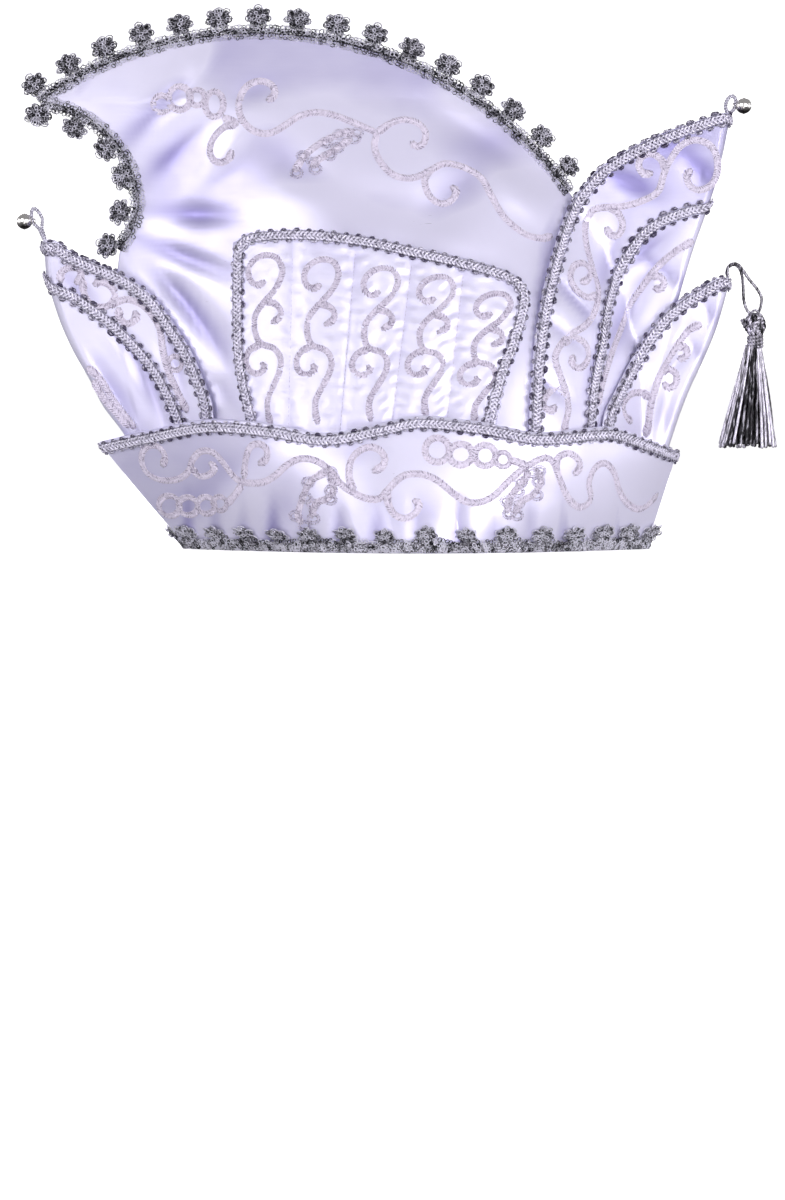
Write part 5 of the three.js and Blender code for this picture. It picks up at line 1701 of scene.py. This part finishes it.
def make_embroidery(sizes):
    for name, skin, scrolls, rings, sprigs in (
        ("crown_embroidery", crown_side, CROWN_SCROLLS, CROWN_RINGS, CROWN_SPRIGS),
        ("cuff_embroidery", cuff_skin, CUFF_SCROLLS, CUFF_RINGS, CUFF_SPRIGS),
    ):
        leaves = [leaf for number in sprigs for leaf in sprig_leaves(scrolls[number])]
        embroider(sizes, name, skin, scrolls, (*rings, *leaves))
    embroider(sizes, "front_wing_embroidery", front_wing.outer, FRONT_WING_SCROLLS, FRONT_WING_RINGS)
    embroider(sizes, "tall_wing_embroidery", tall_wing.outer, TALL_WING_SCROLLS)
    embroider(sizes, "low_wing_embroidery", low_wing.outer, LOW_WING_SCROLLS)
    for side, mirror in SIDES:
        name = f"{side}_panel_embroidery"
        embroider(sizes, name, panel_side, panel_lines(), sides=(mirror,), dense=True)


# ---- bells, shaped by hand


def choose(mesh, test):
    """Selects the faces of the mesh being edited whose middles pass a test."""
    edited = bmesh.from_edit_mesh(mesh)
    edited.select_mode = {"FACE"}
    for face in edited.faces:
        face.select_set(bool(test(face.calc_center_median())))
    edited.select_flush_mode()
    bmesh.update_edit_mesh(mesh)


def apply_place():
    bpy.ops.object.transform_apply(location=True, rotation=True, scale=True)


def make_ball(name, bell, centre, facing):
    """A sphere with crossed slots cut into its far half, a raised band round its waist and a metal wall."""
    radius, half = bell.radius, bell.slot / 2
    turn = (facing * math.pi / 2, 0, 0)
    size = {"segments": 40, "ring_count": 24, "radius": radius * 0.985}
    deselect()
    bpy.ops.mesh.primitive_uv_sphere_add(location=centre, rotation=turn, **size)
    ball = bpy.context.object
    ball.name = f"{name}_nickel"
    apply_place()
    edit()
    for axis in (0, 2):
        for side in (-1, 1):
            at, normal = centre.copy(), Vector((0, 0, 0))
            at[axis] += side * half
            normal[axis] = 1
            bpy.ops.mesh.select_all(action="SELECT")
            bpy.ops.mesh.bisect(plane_co=at, plane_no=normal)

    def in_slot(middle):
        away = middle - centre
        near, far = sorted((abs(away.x), abs(away.z)))
        return facing * away.y > radius * 0.12 and near < half and far < radius * 0.86

    choose(ball.data, in_slot)
    bpy.ops.mesh.delete(type="FACE")
    choose(ball.data, lambda middle: abs((middle - centre).y) < radius * 0.14)
    bpy.ops.mesh.extrude_region_shrink_fatten(TRANSFORM_OT_shrink_fatten={"value": radius * 0.045})
    bpy.ops.mesh.select_all(action="SELECT")
    bpy.ops.mesh.remove_doubles(threshold=2e-6)
    bpy.ops.mesh.normals_make_consistent(inside=False)
    edit(False)
    wall = ball.modifiers.new("wall", "SOLIDIFY")
    wall.thickness, wall.offset = bell.wall, -1
    edges = ball.modifiers.new("edges", "BEVEL")
    edges.width, edges.segments = radius * 0.02, 2
    edges.limit_method, edges.angle_limit = "ANGLE", math.radians(50)
    for modifier in ("wall", "edges"):
        bpy.ops.object.modifier_apply(modifier=modifier)
    return ball


def make_eye(at):
    """The ring that the bell hangs by, turned to face along the hat."""
    bpy.ops.mesh.primitive_torus_add(
        major_segments=28, minor_segments=10, major_radius=0.00135, minor_radius=0.00034, location=at
    )
    apply_place()
    edit()
    bpy.ops.transform.rotate(value=math.pi / 2, orient_axis="X", center_override=at)
    edit(False)
    return bpy.context.object


def make_pea(at, radius):
    """The loose ball inside, a little flattened."""
    bpy.ops.mesh.primitive_ico_sphere_add(subdivisions=3, radius=radius, location=at)
    pea = bpy.context.object
    edit()
    bpy.ops.transform.resize(value=(1, 1, 0.9))
    edit(False)
    apply_place()
    return pea


def make_bell(name, bell):
    """A rolled nickel ball whose slots face away from the hat, with its eye and its pea."""
    low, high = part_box(name)
    radius = bell.radius
    facing = -1 if low.y < 0 else 1
    centre_y = low.y + radius if facing < 0 else high.y - radius
    centre = Vector((0, centre_y, (low.z + high.z) / 2))
    ball = make_ball(name, bell, centre, facing)
    eye = make_eye(centre - Vector((0, facing * (radius + 0.0011), 0)))
    pea = make_pea(centre + Vector((0, facing * radius * 0.3, -radius * 0.35)), radius * 0.36)
    for part in (eye, pea, ball):
        part.select_set(True)
    bpy.context.view_layer.objects.active = ball
    bpy.ops.object.join()
    bpy.ops.object.shade_smooth_by_angle(angle=math.radians(40))
    deselect()
    fitted(ball, nickel(centre.z, radius), (name,))


def twisted(piece, centres, out, radius, lay=2.4, closed=False, sides=6, shade=0.3):
    """A cord of two strands laid round each other along a line."""
    centres = np.asarray(centres, float)
    steps = path_lengths(np.vstack([centres, centres[:1]]) if closed else centres)
    turns = max(int(round(steps[-1] / lay)), 1)
    travelled = steps[:-1] if closed else steps
    _, out, across = directions(centres, out, closed)
    for strand in range(2):
        angle = TURN * (travelled / steps[-1] * turns + strand / 2)
        offset = across * np.cos(angle)[:, None] + out * np.sin(angle)[:, None]
        piece.take(tube(centres + offset * radius * 0.5, out, radius * 0.54, None, sides, closed), shade)


def make_bell_loops(sizes):
    # the cord's dark colour paints shade and dark reflection, deeper on the knotted foot
    finish = metal_thread(sizes, "silver_cord", sizes.lace_light, linear(60, 52, 78), 0.4, 0.4, 0.5)
    for name, row in zip(("front_bell_loop", "rear_bell_loop"), BELL_LOOPS.rows):
        foot_y, foot_z, tall, wide, lean = row
        angle = full_turn(90)
        up = tall / 2 * np.sin(angle) + tall / 2
        pinch = mix(0.3, 1.15, ease((up / tall - 0.3) / 0.35)) if tall > 12 else 1
        flat = wide / 2 * np.cos(angle) * pinch
        cos, sin = cos_sin(math.radians(lean))
        ring = stacked(0 * angle, foot_y + flat * cos - up * sin, foot_z + flat * sin + up * cos)
        piece = Piece(f"{name}_cord")
        twisted(piece, ring, (1, 0, 0), 1.0, lay=2.6, closed=True, shade=0.4)
        foot = ring[np.abs(angle - 1.5 * math.pi) < 0.5] - np.array([0, 0, 0.1])
        piece.take(tube(foot, (1, 0, 0), 0.95, 0.8, 8), 0.6)
        piece.build(finish, replaces=(name,))


# ---- tassel


KNOT_PROFILE = (  # radius and height of the core inside the knot's loops
    (0.2, 105.6), (2.9, 105.6), (3.4, 107.4), (4.1, 110), (4, 114), (2.4, 116.6), (0.2, 116.6),
)
NECK_PROFILE = (0.2, NECK_FOOT_Z), (2.6, NECK_FOOT_Z), (2.6, NECK_TOP_Z), (0.2, NECK_TOP_Z)
SKIRT_PROFILE = (  # height, and size as a part of the whole skirt's
    (52.5, 0.2), (52.5, 0.62), (75, 0.48), (94, 0.22), (100.5, 0.2), (100.5, 0.02),
)


def level_rings(profile):
    """Level rings round the tassel's middle, from rows of radius and height."""
    turn = full_turn(20)
    return [stacked(r * np.cos(turn), TASSEL_Y + r * np.sin(turn), 0 * turn + z) for r, z in profile]


def make_tassel_top(sizes):
    """The knotted head of looped cord, and the neck bound with three turns."""
    light, dark = sizes.tassel_light, sizes.tassel_shade_and_reflection
    finish = metal_thread(sizes, "tassel_cord_yarn", light, dark, 0.28, 0.6, 1.2, 9)
    head = Piece("tassel_knot")
    middle = np.array([0, TASSEL_Y, 112.2])
    angle = full_turn(56)
    for k in range(7):
        turn, lean = math.pi * k / 7, 0.62 * (-1) ** k
        flat, across, up = np.cos(angle), np.sin(angle) * math.sin(lean), np.sin(angle) * math.cos(lean)
        cos, sin = cos_sin(turn)
        x, y = flat * cos - across * sin, flat * sin + across * cos
        swell = 1 + 0.06 * math.sin(k * 2.3)
        centres = middle + stacked(x * 4.0, y * 4.1, up * 5.4) * swell
        # the loops painted light and dark by turns, as lit and shaded strands
        tone = (0.0, 0.95, 0.35, 0.85)[k % 4]
        twisted(head, centres, unit(centres - middle), 1.45, lay=4.6, closed=True, sides=5, shade=tone)
    # a core painted dark, as the shade inside the knot's loops
    head.grid(level_rings(KNOT_PROFILE), around=True, shade=0.9, capped=True)
    for shift in (-0.95, 0.95):  # the eyelet that the hanging cord runs through
        x, z = np.cos(angle) * 0.6 + shift, HEAD_HOLE_Z - 0.6 + np.sin(angle) * 2.3
        eyelet = stacked(x, TASSEL_Y + 1.9 * np.cos(angle), z)
        twisted(head, eyelet, (0, 0, 1), 0.7, lay=1.9, closed=True, sides=5, shade=0.3)
    end = through([(0.8, TASSEL_Y - 3, 108.6), (1.6, TASSEL_Y - 4.8, 111.2), (2, TASSEL_Y - 6.4, 114.6)])
    twisted(head, end, (1, 0, 0), 1.35, lay=3.4, sides=5, shade=0.75)
    knot = head.build(finish, replaces=("tassel_head",))

    neck = Piece("tassel_binding")
    turn = np.linspace(0, TURN * 3.4, 170)
    climb = np.linspace(NECK_FOOT_Z + 0.5, NECK_TOP_Z + 0.6, 170)
    wrap = stacked(3.25 * np.cos(turn), TASSEL_Y + 3.25 * np.sin(turn), climb)
    twisted(neck, wrap, (0, 0, 1), 1.1, lay=2.6, sides=5, shade=0.55)
    # a core painted dark, as the shade inside the binding's turns
    neck.grid(level_rings(NECK_PROFILE), around=True, shade=0.9, capped=True)
    binding = neck.build(finish, replaces=("tassel_neck",))
    return finish, knot, binding


def laid(line, shape, lay):
    """A cord's points with the low lobes of two laid strands, `lay` being their turn at each step."""
    sides = (len(shape[0]) - 2) // len(line)
    lobes = 1 + 0.09 * np.cos(2 * (np.arange(sides)[None] * TURN / sides - lay))
    points = shape[0].copy()
    body = points[: lobes.size].reshape(len(line), sides, 3)
    points[: lobes.size] = (line[:, None] + (body - line[:, None]) * lobes[..., None]).reshape(-1, 3)
    return points, lobes


def make_tassel_cord(sizes, finish):
    """The cord that leaves the low wing's tip, runs through the tassel's head and goes back."""
    line = through(CORD_ROUTE, 12)
    travelled = path_lengths(line)
    steps = np.linspace(0, travelled[-1], 260)
    line = picked(steps, travelled, line)
    shape = tube(line, (1, 0, 0), sizes.tassel_cord / 2 / MM, None, 10)
    piece = Piece("tassel_hanging_cord")
    piece.take((laid(line, shape, steps[:, None] * TURN / 4.2)[0], *shape[1:]), 0.75)
    cord = piece.build(finish, replaces=("tassel_cord",))


def make_tassel_skirt(finish):
    """Twisted bullion cords that fan from the neck, over a core painted dark as the shade between the cords.
    """
    draw = np.random.default_rng(12)
    piece = Piece("tassel_bullion")
    share = np.linspace(0, 1, 44)
    top = NECK_FOOT_Z + 1.4

    def fan(count, radius, reach, start, sides, shades):
        for k in range(count):
            angle = TURN * (k + draw.uniform(-0.2, 0.2)) / count + start
            foot = TASSEL_FOOT_Z + draw.uniform(0.6, 3.4)
            t = share * (top - foot - radius) / (top - TASSEL_FOOT_Z)
            z = mix(top, TASSEL_FOOT_Z, t)
            wander = 0.6 * np.sin(t * draw.uniform(3, 6) + draw.uniform(0, 6)) * t
            spread = reach * (0.25 + 0.75 * t)
            x = (spread * 9 + wander) * math.cos(angle)
            y = TASSEL_Y - 0.9 - 3.2 * t**1.3 + (spread * 14.4 + wander) * math.sin(angle)
            centre = stacked(x, y, z)
            thick = radius * (0.62 + 0.38 * t) * (1 + 0.18 * np.clip((t - 0.93) / 0.05, 0, 1))
            shape = tube(centre, (math.cos(angle), math.sin(angle), 0), thick, None, sides)
            lay = (z[0] - z)[:, None] * TURN / draw.uniform(6, 8) + draw.uniform(0, 6)
            points, lobes = laid(centre, shape, lay)
            # painted shade: darker in the grooves between the laid strands, with random flecks towards the
            # frayed ends
            tone = draw.choice(shades) + 0.16 * (lobes < 0.95) + 0.1 * np.cos(t * 9 + k)[:, None]
            frayed = 0.6 * (draw.random(tone.shape) - 0.5) * ease((t - 0.72) / 0.15)[:, None]
            tone = np.concatenate([(tone + frayed).ravel(), [0.6, 0.6]])
            piece.take((points, *shape[1:]), tone)

    fan(30, 0.86, 1.0, 0.1, 6, (0.1, 0.35, 0.9, 1.05))
    # the inner fan's cords are painted dark, as the shade inside the skirt
    fan(20, 0.9, 0.78, 0.3, 5, (0.85, 1.0))
    turn, rows = full_turn(24), []
    for z, size in SKIRT_PROFILE:
        y = TASSEL_Y - 0.9 - 3 * (100.5 - z) / 50 + 13 * size * np.sin(turn)
        rows.append(stacked(8 * size * np.cos(turn), y, 0 * turn + z))
    # a core painted dark, as the shade between the cords
    piece.grid(rows, around=True, shade=1.0, capped=True)
    piece.build(finish, replaces=("tassel_skirt",))


# ---- sizes and colours a user would change


def colour(name, description, red, green, blue):
    kind = {"subtype": "COLOR", "size": 3, "min": 0, "max": 1, "default": linear(red, green, blue)}
    return bpy.props.FloatVectorProperty(name=name, description=description, **kind)


def amount(name, description, default, low, high, **kind):
    kind |= {"default": default, "min": low, "max": high}
    return bpy.props.FloatProperty(name=name, description=description, **kind)


def metres(name, description, default, low, high):
    return amount(name, description, default, low, high, subtype="DISTANCE", unit="LENGTH", precision=5)


class HatClothSettings(bpy.types.PropertyGroup):
    satin_light: colour("Satin", "Satin where it lies smooth", 237, 234, 255)
    # painted shade: the lilac the satin takes in its folds and shaded places
    satin_painted_shade: colour("Satin in folds", "Satin deep in its folds", 156, 149, 204)
    weave: amount("Weave", "Threads' pitch in mm", 0.5, 0.2, 2)


class HatTrimSettings(bpy.types.PropertyGroup):
    braid_light: colour("Braid", "Bright silver of the braid", 238, 234, 250)
    # painted shade and dark reflection of the braid's loops and tape
    braid_shade_and_reflection: colour("Braid shade", "Dark flecks of the braid", 70, 62, 88)
    lace_light: colour("Lace", "Bright silver of the flower lace", 232, 230, 242)
    # painted shade and dark reflection of the lace's loops, hearts and backing
    lace_shade_and_reflection: colour("Lace shade", "Dark silver of the flower lace", 16, 15, 22)
    floss_light: colour("Embroidery", "Embroidery floss in the light", 231, 223, 240)
    # painted shade of the gaps between stitches, along with random tone
    floss_shade_and_tone: colour("Embroidery shade", "Embroidery floss between stitches", 148, 137, 162)
    tassel_light: colour("Tassel", "Bright silver of the tassel's cords", 224, 220, 232)
    # painted shade of the cords' grooves and the tassel's dark cores
    tassel_shade_and_reflection: colour("Tassel shade", "Dark grooves of the tassel's cords", 8, 7, 11)
    braid_width: amount("Braid width", "Over the edge loops, in mm", USUAL_BRAID, 3, 12)
    braid_repeat: amount("Braid repeat", "One turn of a strand, in mm", 6.2, 3, 15)
    stitch: amount("Stitch spacing", "Between stitches of a row, in mm", 1.3, 0.8, 4)
    fleck: amount("Fleck", "How mottled the silver is", 1, 0, 2)
    tassel_cord: metres("Tassel cord", "Diameter of the hanging cord", 0.0015, 0.0006, 0.003)


class HatBellSettings(bpy.types.PropertyGroup):
    radius: metres("Radius", "Of the ball", 0.0041, 0.002, 0.01)
    wall: metres("Wall", "Thickness of the metal", 0.00045, 0.0002, 0.001)
    slot: metres("Slot", "Width of the crossed slots", 0.0009, 0.0003, 0.003)


class HatStageSettings(bpy.types.PropertyGroup):
    elevation: amount("Camera height", "Degrees above level", 2, 0, 60)
    distance: metres("Camera distance", "From the hat's middle", 4, 1, 20)
    lights: amount("Lights", "Strength of all softboxes", 1, 0, 5)
    ambient: amount("Surroundings", "Light from all round", 0.3, 0, 3)


# ---- operators


class HatOperator:
    bl_options = {"REGISTER", "UNDO"}


class HAT_OT_stage(HatOperator, bpy.types.Operator):
    """Makes the camera, the floor and the soft lights"""

    bl_idname, bl_label = "hat.stage", "Stage"

    def execute(self, context):
        make_stage(context.scene.hat_stage)
        return {"FINISHED"}


class HAT_OT_tassel(HatOperator, bpy.types.Operator):
    """Makes the hanging cord with the tassel's knot, binding and bullion skirt"""

    bl_idname, bl_label = "hat.tassel", "Tassel and cord"

    def execute(self, context):
        sizes = context.scene.hat_trim
        finish, knot, binding = make_tassel_top(sizes)
        make_tassel_cord(sizes, finish)
        make_tassel_skirt(finish)
        return {"FINISHED"}


class HAT_OT_crown(HatOperator, bpy.types.Operator):
    """Makes the crown's two satin halves, sewn along the crest"""

    bl_idname, bl_label = "hat.crown", "Crown"

    def execute(self, context):
        make_crown(context.scene.hat_cloth)
        return {"FINISHED"}


class HAT_OT_cuff(HatOperator, bpy.types.Operator):
    """Makes the flared cuff with the hem's puckers"""

    bl_idname, bl_label = "hat.cuff", "Cuff"

    def execute(self, context):
        make_cuff(context.scene.hat_cloth)
        return {"FINISHED"}


class HAT_OT_wings(HatOperator, bpy.types.Operator):
    """Makes the three folded wings"""

    bl_idname, bl_label = "hat.wings", "Wings"

    def execute(self, context):
        sizes = context.scene.hat_cloth
        make_wing(sizes, "front_wing_satin", front_wing, "front_wing")
        make_wing(sizes, "rear_wing_tall_satin", tall_wing, "rear_wing_tall", rows=84)
        make_wing(sizes, "rear_wing_low_satin", low_wing, "rear_wing_low")
        return {"FINISHED"}


class HAT_OT_panels(HatOperator, bpy.types.Operator):
    """Makes the quilted side panels and their seam stitches"""

    bl_idname, bl_label = "hat.panels", "Quilted panels"

    def execute(self, context):
        scene = context.scene
        for side, mirror in SIDES:
            make_panel(scene.hat_cloth, f"quilted_panel_{side}", mirror, f"side_panel_{side}")
            make_seam_stitches(scene.hat_trim, f"panel_seams_{side}", mirror)
        return {"FINISHED"}


class HAT_OT_braids(HatOperator, bpy.types.Operator):
    """Makes the silver braids on the wings, panels and cuff"""

    bl_idname, bl_label = "hat.braids", "Braids"

    def execute(self, context):
        make_braids(context.scene.hat_trim)
        return {"FINISHED"}


class HAT_OT_lace(HatOperator, bpy.types.Operator):
    """Makes the flower lace along the crest and the hem"""

    bl_idname, bl_label = "hat.lace", "Flower lace"

    def execute(self, context):
        make_crest_lace(context.scene.hat_trim)
        make_hem_lace(context.scene.hat_trim)
        return {"FINISHED"}


class HAT_OT_embroidery(HatOperator, bpy.types.Operator):
    """Stitches the scrolls on every satin piece"""

    bl_idname, bl_label = "hat.embroidery", "Embroidery"

    def execute(self, context):
        make_embroidery(context.scene.hat_trim)
        return {"FINISHED"}


class HAT_OT_bells(HatOperator, bpy.types.Operator):
    """Makes the two jingle bells and their thread loops"""

    bl_idname, bl_label = "hat.bells", "Bells"

    def execute(self, context):
        make_bell_loops(context.scene.hat_trim)
        for name in ("front_bell", "rear_bell"):
            make_bell(name, context.scene.hat_bells)
        return {"FINISHED"}


MAKERS = (
    HAT_OT_stage, HAT_OT_tassel, HAT_OT_crown, HAT_OT_cuff, HAT_OT_wings, HAT_OT_panels, HAT_OT_braids,
    HAT_OT_lace, HAT_OT_embroidery, HAT_OT_bells,
)


class HAT_PT_maker(bpy.types.Panel):
    """Lists the hat's sizes and the steps that make it"""

    bl_idname, bl_label = "HAT_PT_maker", "Carnival hat"
    bl_space_type, bl_region_type, bl_category = "VIEW_3D", "UI", "Hat"

    def draw(self, context):
        for settings in SETTINGS:
            group = getattr(context.scene, settings)
            box = self.layout.box()
            for name in group.__class__.__annotations__:
                box.prop(group, name)
        for maker in MAKERS:
            self.layout.operator(maker.bl_idname)


SETTINGS = {
    "hat_cloth": HatClothSettings,
    "hat_trim": HatTrimSettings,
    "hat_bells": HatBellSettings,
    "hat_stage": HatStageSettings,
}


def register():
    for kind in (*SETTINGS.values(), *MAKERS, HAT_PT_maker):
        bpy.utils.register_class(kind)
    for name, kind in SETTINGS.items():
        setattr(bpy.types.Scene, name, bpy.props.PointerProperty(type=kind))


def unregister():
    for name in SETTINGS:
        delattr(bpy.types.Scene, name)
    for kind in reversed((*SETTINGS.values(), *MAKERS, HAT_PT_maker)):
        bpy.utils.unregister_class(kind)


def main():
    register()
    for maker in MAKERS:
        family, name = maker.bl_idname.split(".")
        getattr(getattr(bpy.ops, family), name)()


if __name__ == "__main__":
    main()
